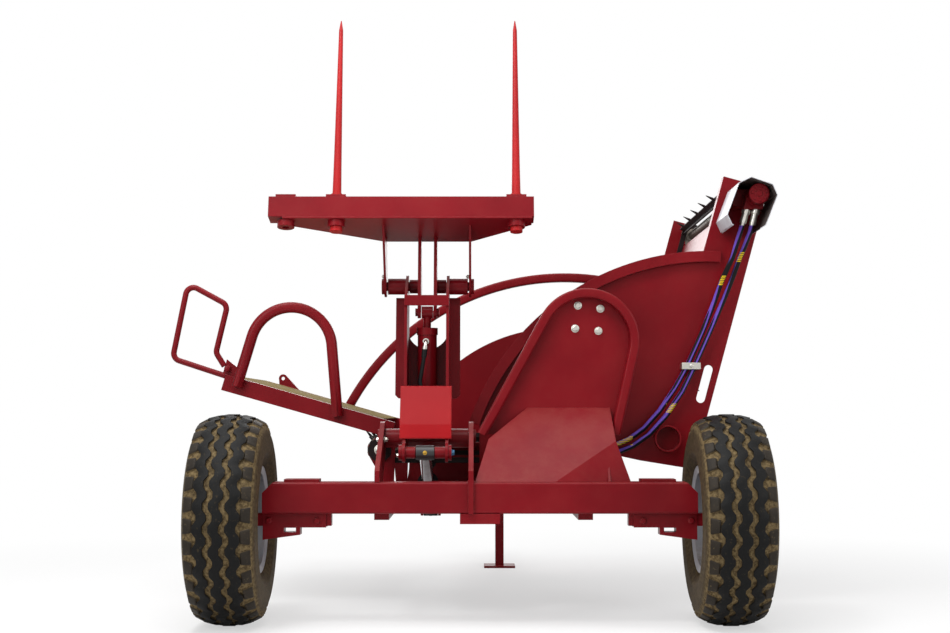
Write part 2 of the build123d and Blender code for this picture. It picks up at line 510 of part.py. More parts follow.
wall_r = WALL_RIM_R - RIM_WIDE
arc_start, arc_end = rim_point(RIM_START, wall_r), rim_point(WALL_END, wall_r)
edge_at_rim = side_point(-205.0, EDGE_GAP)
wall_lines = [CenterArc((WALL_RIM_X, WALL_RIM_Z), wall_r, RIM_START, WALL_END - RIM_START)]
wall_lines += Polyline(arc_end, edge_at_rim, head_left, head_right, low_right, (906, 610), (691, 645), (612, 662),
                       (560, FRAME_TOP), (380, FRAME_TOP), (340, FRAME_TOP + 65), (0, FRAME_TOP + 65), arc_start).edges()
slot_mid = (972.0, 974.0)
slot = Pos(slot_mid[0], REAR_Y, slot_mid[1]) * Rot(0, SIDE_LEAN, 0) * (
    Box(38.0, 40.0, 130.0) + Pos(0, 0, 65) * Rot(90, 0, 0) * Cylinder(19.0, 40.0)
    + Pos(0, 0, -65) * Rot(90, 0, 0) * Cylinder(19.0, 40.0))
SOCKET_X, SOCKET_Z, SOCKET_R = 808.0, 739.0, 57.0
socket_end = REAR_Y + 24.0
socket = disc_y(SOCKET_X, SOCKET_Z, SOCKET_R, REAR_Y - 45, socket_end)
socket_bore = disc_y(SOCKET_X, SOCKET_Z, SOCKET_R - 6, REAR_Y - 46, socket_end - 6)
shaft_hole_r = 30.0
wheel_space = disc_x(0, TYRE_RADIUS, TYRE_RADIUS + WHEEL_GAP, HALF_TRACK - half - WHEEL_GAP,
                     HALF_TRACK + half + WHEEL_GAP)
rear_wall = on_xz(wall_lines, REAR_Y, REAR_Y + WALL_THICK) - slot - wheel_space
strip_low, strip_thick, strip_deep = -640.0, 4.0, 52.0
rear_wall += plate_xz([side_point(END_REACH, EDGE_GAP), side_point(strip_low, EDGE_GAP),
                       side_point(strip_low, EDGE_GAP - strip_thick), side_point(END_REACH, EDGE_GAP - strip_thick)],
                      REAR_Y + WALL_THICK, REAR_Y + WALL_THICK + strip_deep)
parts["rear_wall"] = rear_wall + socket - socket_bore - disc_y(DRIVE_X, DRIVE_Z, shaft_hole_r, REAR_Y - 1, REAR_Y + 20)
rim_lines = [CenterArc((WALL_RIM_X, WALL_RIM_Z), wall_r, RIM_START, RIM_END - RIM_START),
             CenterArc((WALL_RIM_X, WALL_RIM_Z), WALL_RIM_R, RIM_START, RIM_END - RIM_START)]
rim_lines += [Line(rim_point(RIM_START, wall_r), rim_point(RIM_START, WALL_RIM_R)),
              Line(rim_point(RIM_END, wall_r), rim_point(RIM_END, WALL_RIM_R))]
wall_rim = on_xz(rim_lines, REAR_Y - RIM_DEEP + WALL_THICK, REAR_Y + WALL_THICK)
parts["rear_wall_rim"] = wall_rim - parts["rear_wall"]
FRONT_X, FRONT_Z, FRONT_R = 418.0, 433.0, 859.0
front_start = math.degrees(math.asin((PLATFORM_Z - FRONT_Z) / FRONT_R))
front_lines = [CenterArc((FRONT_X, FRONT_Z), FRONT_R, 90.0, 90.0 - front_start)]
front_low = (FRONT_X - FRONT_R * math.cos(math.radians(front_start)), PLATFORM_Z)
front_reach, front_out = 58.0, 110.0
front_lines += Polyline(front_low, (-362, FRAME_TOP + 65), (-372, FRAME_TOP), (560, FRAME_TOP), (612, 650), (906, 610),
                        low_right, side_point(front_reach, EDGE_GAP - BOX_DEPTH), side_point(front_reach, front_out),
                        side_point(-205.0, front_out), (820, 1440), (FRONT_X, FRONT_Z + FRONT_R)).edges()
front_wall = on_xz(front_lines, FRONT_Y, FRONT_Y + WALL_THICK)
front_wall -= disc_y(TAIL_X, TAIL_Z, BEARING_R + 6, FRONT_Y - 1, FRONT_Y + 20)
parts["front_wall"] = front_wall - disc_y(DRIVE_X, DRIVE_Z, shaft_hole_r, FRONT_Y - 1, FRONT_Y + 20)
ARC_X, ARC_Z, ARC_R, ARC_TUBE = 448.0, 281.0, 1275.0, 46.0
arc_path = CenterArc((0, 0, 0), ARC_R, 151.5, -90.0)
arc_path = Pos(ARC_X, FRONT_Y + WALL_THICK + ARC_TUBE / 2, ARC_Z) * (Plane.XZ * arc_path)
arc_section = Plane(arc_path @ 0, x_dir=(0, 1, 0), z_dir=arc_path % 0) * Rectangle(ARC_TUBE, ARC_TUBE)
parts["front_arc_rail"] = sweep(arc_section, arc_path)

# Rear hoop guard on its sloping pedestal
HOOP_Y0, HOOP_Y1 = 205.0, 255.0
hoop_mid = (HOOP_Y0 + HOOP_Y1) / 2
HOOP_X, HOOP_Z, HOOP_R, HOOP_TUBE = 451.0, 1153.0, 200.0, 40.0
left_turn, right_turn = math.radians(28.6), math.radians(12.6)
hoop_low = 760.0


def leg_foot(turn, side):
    """Return the (x, z) foot of a hoop leg that leans by the given turn."""
    x = HOOP_X - side * HOOP_R * math.cos(turn)
    z = HOOP_Z + side * HOOP_R * math.sin(turn)
    return x - (z - hoop_low) * math.tan(turn), hoop_low


left_foot, right_foot = leg_foot(left_turn, 1), leg_foot(right_turn, -1)
span = right_foot[0] - left_foot[0]
rise = span / (math.tan(left_turn) - math.tan(right_turn))
apex = (left_foot[0] + rise * math.tan(left_turn), hoop_low + rise)
hoop_points = [(left_foot[0], hoop_mid, hoop_low), (apex[0], hoop_mid, apex[1]), (right_foot[0], hoop_mid, hoop_low)]
parts["hoop_rim"] = flat_pipe(hoop_points, HOOP_R, HOOP_TUBE, HOOP_Y1 - HOOP_Y0)
hoop_path = FilletPolyline(*[(x, 0, z) for x, y, z in hoop_points], radius=HOOP_R)
panel_edges = list(hoop_path.edges()) + [Line((right_foot[0], 0, hoop_low), (left_foot[0], 0, hoop_low))]
panel = extrude(Pos(0, HOOP_Y1, 0) * make_face(panel_edges), 5.0, dir=(0, 1, 0))
parts["hoop_panel"] = panel
ped_rear = -45.0
ped_top = 872.0


def slab(corners, thick):
    """Return a plate between corners in space, thickened forward."""
    face = make_face(Polyline(*corners, close=True))
    way = face.face().normal_at()
    way = way if way.Y > 0 else way * -1
    return extrude(face, thick, dir=way)


def ped_at(x, z):
    """Return a point of the pedestal's main slope."""
    return x, ped_rear + (HOOP_Y1 - ped_rear) * (z - axle_top) / (ped_top - axle_top), z


main_slope = slab([ped_at(-20, axle_top), ped_at(300, axle_top), ped_at(560, 734), ped_at(548, ped_top),
                   ped_at(200, ped_top), ped_at(36, 742)], 6.0)
right_slope = slab([ped_at(300, axle_top), ped_at(560, 734), (612, 40, axle_top)], 6.0)
props = [plate_yz([(0, axle_top), (axle_half, axle_top), (HOOP_Y1, 790), (HOOP_Y1, ped_top - 4)], x0, x0 + 8)
         for x0 in (210.0, 520.0)]
pedestal = main_slope + right_slope + props[0] + props[1]
parts["hoop_pedestal"] = pedestal - parts["hoop_panel"] - box(-100, 700, -80, 300, 400, axle_top)

# Conveyor: a spine from the tail shaft over a bend to the drive shaft, with a chain at each end of the slats
bend_z = TAIL_Z + BEND_R
BEND_X = DRIVE_X - (DRIVE_Z - TAIL_Z) * math.tan(side_turn) - BEND_R * math.tan(math.radians(45.0) - side_turn / 2)
bend_sweep = 90.0 - SIDE_LEAN
CHAIN_WIDE = 12.0
chain_gap = 44.0
chain_y = (REAR_Y + WALL_THICK + chain_gap, FRONT_Y - chain_gap - CHAIN_WIDE)


def spine_offset(reach):
    """Return the lines of a closed loop at a distance from the conveyor's spine."""
    start = (TAIL_X, TAIL_Z + reach)
    bend_in = (BEND_X, TAIL_Z + reach)
    turn = math.radians(-SIDE_LEAN)
    top_out = (BEND_X + (BEND_R - reach) * math.cos(turn), bend_z + (BEND_R - reach) * math.sin(turn))
    low_out = (BEND_X + (BEND_R + reach) * math.cos(turn), bend_z + (BEND_R + reach) * math.sin(turn))
    return [Line(start, bend_in),
            CenterArc((BEND_X, bend_z), BEND_R - reach, -90.0, bend_sweep),
            Line(top_out, side_point(0, reach)),
            CenterArc((DRIVE_X, DRIVE_Z), reach, 180.0 - SIDE_LEAN, -180.0),
            Line(side_point(0, -reach), low_out),
            CenterArc((BEND_X, bend_z), BEND_R + reach, -SIDE_LEAN, -bend_sweep),
            Line((BEND_X, TAIL_Z - reach), (TAIL_X, TAIL_Z - reach)),
            CenterArc((TAIL_X, TAIL_Z), reach, -90.0, -180.0)]


chains = []
for y0 in chain_y:
    ring = on_xz(spine_offset(CHAIN_R + CHAIN_HALF), y0, y0 + CHAIN_WIDE)
    chains.append(ring - on_xz(spine_offset(CHAIN_R - CHAIN_HALF), y0 - 1, y0 + CHAIN_WIDE + 1))
parts["conveyor_chains"] = Compound(children=chains)
loop = spine_offset(CHAIN_R)
reaches = [edge.length for edge in loop]
bend = (BEND_X, bend_z)
# Columns, one row per line of the loop: centre of an arc or None, and the way out
ways_out = ((None, (0, 1)), (bend, -1), (None, out_way), ((DRIVE_X, DRIVE_Z), 1), (None, (-out_way[0], -out_way[1])),
            (bend, 1), (None, (0, -1)), ((TAIL_X, TAIL_Z), 1))
slat_pitch = sum(reaches) / SLAT_COUNT
slat_y0, slat_y1 = chain_y[0] + CHAIN_WIDE, chain_y[1]
SPIKE_COUNT = 5
spike_pitch = (slat_y1 - slat_y0) / SPIKE_COUNT
slat_foot, slat_wide, blade_thick = 7.0, 36.0, 6.0
top_reach = 9.0
first_reach = (sum(reaches[:3]) + top_reach) % slat_pitch
slats = []
for i in range(SLAT_COUNT):
    reach = first_reach + i * slat_pitch
    place = 0
    while reach > reaches[place]:
        reach -= reaches[place]
        place += 1
    spot = loop[place] @ (reach / reaches[place])
    centre, way = ways_out[place]
    if centre:
        way = (way * (spot.X - centre[0]), way * (spot.Y - centre[1]))
    tilt = math.degrees(math.atan2(way[0], way[1]))
    slat = Pos(0, (slat_y0 + slat_y1) / 2, 0) * Box(slat_wide, slat_y1 - slat_y0, slat_foot)
    slat += Pos(0, (slat_y0 + slat_y1) / 2, SLAT_TALL / 2) * Box(blade_thick, slat_y1 - slat_y0, SLAT_TALL)
    for j in range(SPIKE_COUNT):
        slat += Pos(0, slat_y0 + (j + 0.5) * spike_pitch, SLAT_TALL) * Cone(
            7.0, 1.5, SPIKE_TALL, align=(Align.CENTER, Align.CENTER, Align.MIN))
    slats.append(Pos(spot.X, 0, spot.Y) * Rot(0, tilt, 0) * slat)
parts["conveyor_slats"] = Compound(children=slats)
bed_top, bed_thick = CHAIN_R - CHAIN_HALF - 0.5, 4.0
bed_turn = math.radians(-SIDE_LEAN)


def bed_line(reach):
    """Return the lines of one face of the bed at a distance from the spine."""
    out = (BEND_X + (BEND_R - reach) * math.cos(bed_turn), bend_z + (BEND_R - reach) * math.sin(bed_turn))
    return [Line((TAIL_X + 80, TAIL_Z + reach), (BEND_X, TAIL_Z + reach)),
            CenterArc((BEND_X, bend_z), BEND_R - reach, -90.0, bend_sweep), Line(out, side_point(-70.0, reach))]


bed_lines = bed_line(bed_top) + bed_line(bed_top - bed_thick)
bed_lines += [Line((TAIL_X + 80, TAIL_Z + bed_top), (TAIL_X + 80, TAIL_Z + bed_top - bed_thick)),
              Line(side_point(-70.0, bed_top), side_point(-70.0, bed_top - bed_thick))]
parts["conveyor_bed"] = on_xz(bed_lines, REAR_Y + WALL_THICK, FRONT_Y)

# Shafts with toothed wheels beside the chains, and the tail plates that carry the lower shaft
tooth_r, tooth_thick, tooth_count = 58.0, 6.0, 10
shaft_r = 22.0


def toothed(x, z, y0):
    """Return a toothed disc along Y."""
    wheel_disc = disc_y(x, z, tooth_r, y0, y0 + tooth_thick)
    for i in range(tooth_count):
        turn = 2 * math.pi * i / tooth_count
        wheel_disc -= disc_y(x + tooth_r * math.cos(turn), z + tooth_r * math.sin(turn), 9.0, y0 - 1, y0 + tooth_thick + 1)
    return wheel_disc


for name, x, z, y0, y1 in (("tail_shaft", TAIL_X, TAIL_Z, REAR_Y - 10.0, FRONT_Y + 16.0),
                           ("drive_shaft", DRIVE_X, DRIVE_Z, REAR_Y - 20.0, FRONT_Y + 22.0)):
    shaft = disc_y(x, z, shaft_r, y0, y1)
    for side_y, tooth_y in ((chain_y[0], chain_y[0] - tooth_thick), (chain_y[1], chain_y[1] + CHAIN_WIDE)):
        shaft += disc_y(x, z, CHAIN_R - CHAIN_HALF, side_y, side_y + CHAIN_WIDE) + toothed(x, z, tooth_y)
    parts[name] = shaft
bearings = []
for x, z, face_y, way in ((TAIL_X, TAIL_Z, REAR_Y, -1), (TAIL_X, TAIL_Z, FRONT_Y, 1),
                          (DRIVE_X, DRIVE_Z, FRONT_Y + WALL_THICK, 1)):
    y0, y1 = sorted((face_y, face_y + way * 14.0))
    bearings.append(disc_y(x, z, BEARING_R, y0, y1) - disc_y(x, z, shaft_r + FIT, y0 - 1, y1 + 1))
parts["shaft_bearings"] = Compound(children=bearings)

# Left platform: two sloping beams, floor, cross members, hoop, loop and end plate
slope = math.radians(PLATFORM_SLOPE)


def deck(run, rise_by):
    """Return an (x, z) point along the platform from its low end."""
    return (PLATFORM_X - run * math.cos(slope) + rise_by * math.sin(slope),
            PLATFORM_Z + run * math.sin(slope) + rise_by * math.cos(slope))


beam_deep = 50.0
floor_thick = 3.0
inner_y0, inner_y1 = REAR_Y + beam_deep, FRONT_Y + WALL_THICK - beam_deep
platform = None
for y0 in (REAR_Y, inner_y1):
    rail = plate_xz([deck(0, 0), deck(PLATFORM_LENGTH, 0), deck(PLATFORM_LENGTH, -PLATFORM_BEAM),
                     deck(0, -PLATFORM_BEAM)], y0, y0 + beam_deep)
    platform = platform + rail if platform else rail
member_low = -PLATFORM_BEAM + 8.0
for run in (170.0, 420.0, PLATFORM_LENGTH - 50.0):
    platform += plate_xz([deck(run, -floor_thick), deck(run + 50, -floor_thick), deck(run + 50, member_low),
                          deck(run, member_low)], inner_y0, inner_y1)
lug_x, lug_z, lug_y, lug_wide = -1015.0, 1027.0, inner_y1 + 15.0, 12.0
eye_lug = plate_xz([deck(695, -2), (lug_x - 21, lug_z - 7), (lug_x, lug_z), (lug_x + 15, lug_z + 16), deck(585, -2)],
                   lug_y, lug_y + lug_wide)
eye_lug += disc_y(lug_x, lug_z, 22.0, lug_y, lug_y + lug_wide)
platform += eye_lug - disc_y(lug_x, lug_z, 9.0, lug_y - 1, lug_y + lug_wide + 1)
parts["platform_frame"] = platform
floor_run = 60.0
parts["platform_floor"] = plate_xz(
    [deck(floor_run, 0), deck(PLATFORM_LENGTH, 0), deck(PLATFORM_LENGTH, -floor_thick), deck(floor_run, -floor_thick)],
    inner_y0, inner_y1)
tail_outline = [deck(40, -PLATFORM_BEAM), deck(0, -PLATFORM_BEAM), (-364, 700), (-370, FRAME_TOP), (-430, FRAME_TOP),
                (-440, 600), (TAIL_X - 50, TAIL_Z - 20), (TAIL_X - 50, TAIL_Z + 20), (TAIL_X - 20, TAIL_Z + 50)]
tail_plates = []
for y0 in (REAR_Y, FRONT_Y - WALL_THICK):
    plate = plate_xz(tail_outline, y0, y0 + WALL_THICK)
    tail_plates.append(plate - disc_y(TAIL_X, TAIL_Z, shaft_r + FIT, y0 - 1, y0 + 30))
parts["tail_plates"] = Compound(children=tail_plates)
hoop_y = REAR_Y - 25.0
parts["platform_hoop"] = flat_pipe([(-1046, hoop_y, 963), (-717.5, hoop_y, 2065), (-611, hoop_y, 834)], 176.0, 46.0, 50.0)
loop_y = REAR_Y + 25.0
loop_r = 12.5
loop_points = [(-1104, loop_y, 1010), (-1333, loop_y, 1085), (-1270, loop_y, 1412), (-1097, loop_y, 1318),
               (-1145, loop_y, 1111), (-1108, loop_y, 1052)]
end_plate = [deck(PLATFORM_LENGTH - 50, 0), deck(PLATFORM_LENGTH, 0), (-1113, 1022), (-1096, 1082), (-1043, 1040)]
parts["platform_loop"] = pipe(loop_points, 34.0, loop_r) + plate_xz(end_plate, loop_y - 6, loop_y + 6)

# Drive motor, gearbox and sheet guard
MOTOR_X, MOTOR_Z = DRIVE_X + 60.0, DRIVE_Z - 2.0
case_r, case_deep, motor_r, motor_deep = 38.0, 95.0, 41.0, 130.0
case_y = REAR_Y - case_deep
gearbox = disc_y(DRIVE_X, DRIVE_Z, case_r, case_y, REAR_Y) + disc_y(MOTOR_X, MOTOR_Z, case_r, case_y, REAR_Y)
gearbox += box(DRIVE_X, MOTOR_X, case_y, REAR_Y, DRIVE_Z - case_r, MOTOR_Z + case_r)
gearbox += disc_y(MOTOR_X, MOTOR_Z, motor_r + 3, case_y - 14, case_y)
parts["gearbox"] = gearbox - disc_y(DRIVE_X, DRIVE_Z, shaft_r + FIT, REAR_Y - 22, REAR_Y + 1)
port_y = case_y - 70.0
motor = disc_y(MOTOR_X, MOTOR_Z, motor_r, case_y - 14 - motor_deep, case_y - 14)
port_z = MOTOR_Z - 58.0
motor += plate_xz([(MOTOR_X - 58, port_z), (MOTOR_X + 24, port_z), (MOTOR_X + 36, MOTOR_Z - 16), (MOTOR_X, MOTOR_Z),
                   (MOTOR_X - 36, MOTOR_Z + 10)], port_y - 24, port_y + 24)
parts["drive_motor"] = motor
guard_points = [(1080, 1808), (1132, 1833), (1222, 1802), (1242, 1755), (1191, 1628), (1143, 1598), (1048, 1632),
                (1029, 1674)]
guard_thick, guard_deep = 3.0, 290.0
guard_face = make_face(Polyline(*guard_points, close=True))
guard_inner = offset(guard_face, -guard_thick, kind=Kind.INTERSECTION)
guard = extrude(Pos(0, REAR_Y - guard_deep, 0) * (Plane.XZ * (guard_face - guard_inner)), guard_deep, dir=(0, 1, 0))
parts["motor_guard"] = guard - box(1056, 1166, REAR_Y - guard_deep - 1, REAR_Y + 1, 1590, 1640)

# Hoses with their crimps, and the clamp on the wall
hose_r, crimp_r = 11.0, 15.0
hose_y = REAR_Y - 52.0
hose_bend = 45.0
# Columns: x, y and z of each point from the port down to the wall, one row of points per hose
hose_routes = (
    [(MOTOR_X - 40, port_y, port_z), (MOTOR_X - 62, port_y, 1632), (1078, 300, 1510), (1038, 340, 1416),
     (1008, 360, 1324), (958, hose_y, 1199), (890, hose_y, 1048), (838, hose_y, 956), (769, hose_y, 856),
     (704, hose_y, 784), (640, hose_y, 738), (585, hose_y, 714), (545, hose_y, 700), (528, REAR_Y - 0.3, 694)],
    [(MOTOR_X, port_y, port_z), (MOTOR_X - 22, port_y, 1623), (1128, 290, 1554), (1112, 315, 1512), (1084, 340, 1427),
     (1050, 360, 1337), (990, hose_y, 1199), (922, hose_y, 1048), (868, hose_y, 940), (796, hose_y, 834),
     (726, hose_y, 758), (655, hose_y, 708), (590, hose_y, 682), (545, hose_y, 668), (528, REAR_Y - 0.3, 662)])
over_port = box(MOTOR_X - 90, MOTOR_X + 60, port_y - 60, port_y + 60, port_z, port_z + 40)
past_wall = box(480, 580, REAR_Y, REAR_Y + 40, 620, 740)
hoses = []
for points in hose_routes:
    nut_end = [a + 0.22 * (b - a) for a, b in zip(points[0], points[1])]
    crimp_end = [a + 0.75 * (b - a) for a, b in zip(points[0], points[1])]
    hose = pipe(points, hose_bend, hose_r) + bar(points[0], crimp_end, crimp_r)
    hoses.append(hose + bar(points[0], nut_end, crimp_r + 4) - over_port - past_wall)
parts["hoses"] = Compound(children=hoses)
clamp = box(866, 946, hose_y - 16, REAR_Y, 1036, 1064)
parts["hose_clamp"] = clamp - hoses[0] - hoses[1]

# One shift of the whole assembly to the middle of its bounding box, then one file per piece
boxes = [shape.bounding_box() for shape in parts.values()]
mid_x = (min(b.min.X for b in boxes) + max(b.max.X for b in boxes)) / 2
mid_y = (min(b.min.Y for b in boxes) + max(b.max.Y for b in boxes)) / 2
low_z = min(b.min.Z for b in boxes)
os.makedirs("parts", exist_ok=True)
for name, shape in parts.items():
    export_step(Pos(-mid_x, -mid_y, -low_z) * shape, f"parts/{name}.step")
print("shift", -mid_x, -mid_y, -low_z)
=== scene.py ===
"""Looks of the trailed round-bale feeder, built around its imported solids."""
from __future__ import annotations

import logging
import math
from dataclasses import dataclass, field
from enum import Enum
from typing import Callable, Iterable, Sequence

import bmesh
import bpy
from mathutils import Matrix, Vector

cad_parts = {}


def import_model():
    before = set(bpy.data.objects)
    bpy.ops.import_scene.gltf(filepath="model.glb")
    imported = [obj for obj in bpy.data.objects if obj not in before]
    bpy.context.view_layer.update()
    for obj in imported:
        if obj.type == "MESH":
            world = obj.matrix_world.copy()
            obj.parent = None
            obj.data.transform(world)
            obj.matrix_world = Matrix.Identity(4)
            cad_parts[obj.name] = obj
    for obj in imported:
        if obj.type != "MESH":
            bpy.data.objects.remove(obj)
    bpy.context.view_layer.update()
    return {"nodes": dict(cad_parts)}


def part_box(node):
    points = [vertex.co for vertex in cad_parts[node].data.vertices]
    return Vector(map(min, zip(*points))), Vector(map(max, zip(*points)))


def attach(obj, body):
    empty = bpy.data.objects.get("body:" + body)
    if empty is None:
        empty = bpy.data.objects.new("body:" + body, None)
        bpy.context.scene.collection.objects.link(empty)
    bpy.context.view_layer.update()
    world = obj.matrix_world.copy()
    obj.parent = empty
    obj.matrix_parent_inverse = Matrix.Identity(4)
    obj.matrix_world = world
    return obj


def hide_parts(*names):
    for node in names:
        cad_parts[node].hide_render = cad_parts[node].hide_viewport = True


log = logging.getLogger("bale_feeder")

MM = 0.001
HALF_TRACK, TYRE_RADIUS = 997.0, 422.5
ROD_EYE, GUARD_MIDDLE = (-224.0, 86.0, 687.0), (1140.0, 181.0, 1720.0)
Colour = tuple[int, int, int]
Point = tuple[float, float, float]


def linear(colour: Colour) -> tuple[float, float, float, float]:
    """Turn a colour of 0 to 255 a channel into scene values.

    Args:
        colour: red, green and blue as a picture shows them.

    Returns:
        The linear colour with full alpha.
    """
    parts = []
    for channel in colour:
        share = channel / 255.0
        parts.append(share / 12.92 if share <= 0.04045 else ((share + 0.055) / 1.055) ** 2.4)
    return parts[0], parts[1], parts[2], 1.0


class Sock:
    """A shader socket that takes part in arithmetic."""

    def __init__(self, graph: "Graph", socket: bpy.types.NodeSocket) -> None:
        """Keep the socket and the graph that it belongs to."""
        self.graph = graph
        self.socket = socket

    def maths(self, operation: str, *others: "Sock | float") -> "Sock":
        """Add a Math node whose first input is this socket.

        Args:
            operation: the node's operation.
            others: its further inputs.

        Returns:
            The node's result.
        """
        return self.graph.make("ShaderNodeMath", {"operation": operation}, dict(enumerate((self, *others))))

    def __add__(self, other: "Sock | float") -> "Sock":
        """Add."""
        return self.maths("ADD", other)

    __radd__ = __add__

    def __sub__(self, other: "Sock | float") -> "Sock":
        """Subtract."""
        return self.maths("SUBTRACT", other)

    def __rsub__(self, other: float) -> "Sock":
        """Subtract this socket from a number."""
        return self.graph.make("ShaderNodeMath", {"operation": "SUBTRACT"}, {0: other, 1: self})

    def __mul__(self, other: "Sock | float") -> "Sock":
        """Multiply."""
        return self.maths("MULTIPLY", other)

    __rmul__ = __mul__

    def ramp(self, low: float, high: float) -> "Sock":
        """Rise smoothly from 0 at low to 1 at high.

        Args:
            low: where the rise starts.
            high: where it ends.

        Returns:
            A value from 0 to 1.
        """
        return self.graph.make("ShaderNodeMapRange", {"interpolation_type": "SMOOTHSTEP"},
                               {"Value": self, "From Min": low, "From Max": high})


class Graph:
    """The nodes of one material."""

    def __init__(self, name: str) -> None:
        """Start an empty material of that name."""
        self.material = bpy.data.materials.new(name)
        self.material.use_nodes = True
        self.tree = self.material.node_tree
        self.tree.nodes.clear()
        self.place = self.make("ShaderNodeTexCoord", out="Object")

    def make(self, kind: str, settings: dict | None = None, sockets: dict | None = None,
             out: int | str = 0) -> Sock:
        """Add a node.

        Args:
            kind: the node's type.
            settings: its properties, which are set first.
            sockets: values or links of its inputs by name or number.
            out: the output to hand back.

        Returns:
            That output.
        """
        node = self.tree.nodes.new(kind)
        for key, value in (settings or {}).items():
            setattr(node, key, value)
        for key, value in (sockets or {}).items():
            if isinstance(value, Sock):
                self.tree.links.new(value.socket, node.inputs[key])
            else:
                node.inputs[key].default_value = value
        return Sock(self, node.outputs[out]) if node.outputs else Sock(self, node.inputs[0])

    def noise(self, scale: float, detail: float, rough: float = 0.55) -> Sock:
        """Add a noise field on object coordinates."""
        return self.make("ShaderNodeTexNoise", None, {"Vector": self.place, "Scale": scale,
                                                      "Detail": detail, "Roughness": rough})

    def axes(self) -> tuple[Sock, Sock, Sock]:
        """Split the object coordinates."""
        split = self.make("ShaderNodeSeparateXYZ", None, {0: self.place}, "X")
        return tuple(Sock(self, split.socket.node.outputs[i]) for i in range(3))

    def from_axis(self, place: Point) -> Sock:
        """Measure how far the surface lies from a line along X through a place."""
        _, along, up = self.axes()
        return ((along - place[1]) * (along - place[1]) + (up - place[2]) * (up - place[2])).maths("SQRT")

    def facing(self, way: Point) -> Sock:
        """Say how far the surface turns to a fixed direction of the piece.

        Args:
            way: the direction.

        Returns:
            The cosine of the angle.
        """
        normal = self.make("ShaderNodeTexCoord", out="Normal")
        return self.make("ShaderNodeVectorMath", {"operation": "DOT_PRODUCT"}, {0: normal, 1: way}, "Value")

    def mix(self, share: Sock | float, first: Sock | tuple, second: Sock | tuple) -> Sock:
        """Mix two colours."""
        return self.make("ShaderNodeMix", {"data_type": "RGBA"}, {0: share, 6: first, 7: second}, 2)

    def rounded(self, radius: float) -> tuple[Sock, Sock]:
        """Round the edges for light.

        Args:
            radius: the radius in metres.

        Returns:
            The rounded normal, and a mask that is high along edges.
        """
        soft = self.make("ShaderNodeBevel", {"samples": 4}, {"Radius": radius})
        plain = self.make("ShaderNodeNewGeometry", out="Normal")
        same = self.make("ShaderNodeVectorMath", {"operation": "DOT_PRODUCT"}, {0: soft, 1: plain}, "Value")
        return soft, (1.0 - same).ramp(0.01, 0.16)

    def bump(self, height: Sock, distance: float, strength: float, normal: Sock | None = None) -> Sock:
        """Add a bump of that height in metres."""
        sockets = {"Height": height, "Distance": distance, "Strength": strength}
        if normal:
            sockets["Normal"] = normal
        return self.make("ShaderNodeBump", None, sockets)

    def finish(self, **sockets: "Sock | float | tuple") -> bpy.types.Material:
        """Close the material with one surface shader.

        Args:
            sockets: the shader's inputs, with underscores for spaces.

        Returns:
            The material.
        """
        shader = self.make("ShaderNodeBsdfPrincipled", None,
                           {key.replace("_", " "): value for key, value in sockets.items()})
        self.make("ShaderNodeOutputMaterial", None, {"Surface": shader})
        return self.material


@dataclass(frozen=True)
class Paint:
    """Machine paint with dust, soft edges lightened by wear and by a painted highlight, and a little orange
    peel.
    """

    name: str
    colour: Colour
    gloss: float = 0.3
    dust: float = 0.35
    dust_colour: Colour = (150, 104, 88)
    worn_edge_and_highlight_colour: Colour = (168, 66, 66)
    edge: float = 0.35
    metal: float = 0.0
    shine: float = 0.1
    coat: float = 0.05
    soften: float = 0.0035

    def build(self) -> bpy.types.Material:
        """Make the material."""
        graph = Graph(self.name)
        cloud = graph.noise(2.2, 4.0)
        speck = graph.noise(38.0, 5.0, 0.7)
        grain = graph.noise(9.0, 4.0, 0.6)
        peel = graph.noise(420.0, 2.0)
        normal, edge = graph.rounded(self.soften)
        lying = graph.facing((0.0, 0.0, 1.0)).ramp(0.25, 0.98)
        patchy = (speck * 0.25 + grain * 0.4 + cloud * 0.35).ramp(0.42, 0.66)
        dusty = (lying * 0.85 + 0.15) * patchy * self.dust
        base = linear(self.colour)
        deep = tuple(channel * 0.78 for channel in base[:3]) + (1.0,)
        colour = graph.mix(cloud.ramp(0.35, 0.68), deep, base)
        colour = graph.mix(dusty, colour, linear(self.dust_colour))
        # Edges turn lighter: partly worn paint, partly a painted highlight along them.
        colour = graph.mix(edge * speck.ramp(0.36, 0.6) * self.edge, colour, linear(self.worn_edge_and_highlight_colour))
        return graph.finish(Base_Color=colour, Roughness=dusty * 0.5 + speck * 0.08 + self.gloss,
                            Metallic=self.metal, Specular_IOR_Level=self.shine,
                            Coat_Weight=self.coat, Coat_Roughness=0.16,
                            Normal=graph.bump(peel * 0.5 + speck * 0.5, 0.0004, 0.25, normal))


@dataclass(frozen=True)
class Metal:
    """Bare or plated metal with fine wear and stains."""

    name: str
    colour: Colour
    rough: float = 0.32
    stain_colour: Colour = (88, 70, 52)
    stain: float = 0.3

    def build(self) -> bpy.types.Material:
        """Make the material."""
        graph = Graph(self.name)
        cloud = graph.noise(9.0, 5.0, 0.65)
        fine = graph.noise(260.0, 3.0)
        normal, edge = graph.rounded(0.0018)
        stained = cloud.ramp(0.48, 0.7) * self.stain
        colour = graph.mix(stained, linear(self.colour), linear(self.stain_colour))
        return graph.finish(Base_Color=colour, Metallic=1.0 - stained * 0.8,
                            Roughness=stained * 0.5 + fine * 0.12 + self.rough - edge * 0.08,
                            Normal=graph.bump(fine, 0.0003, 0.2, normal))


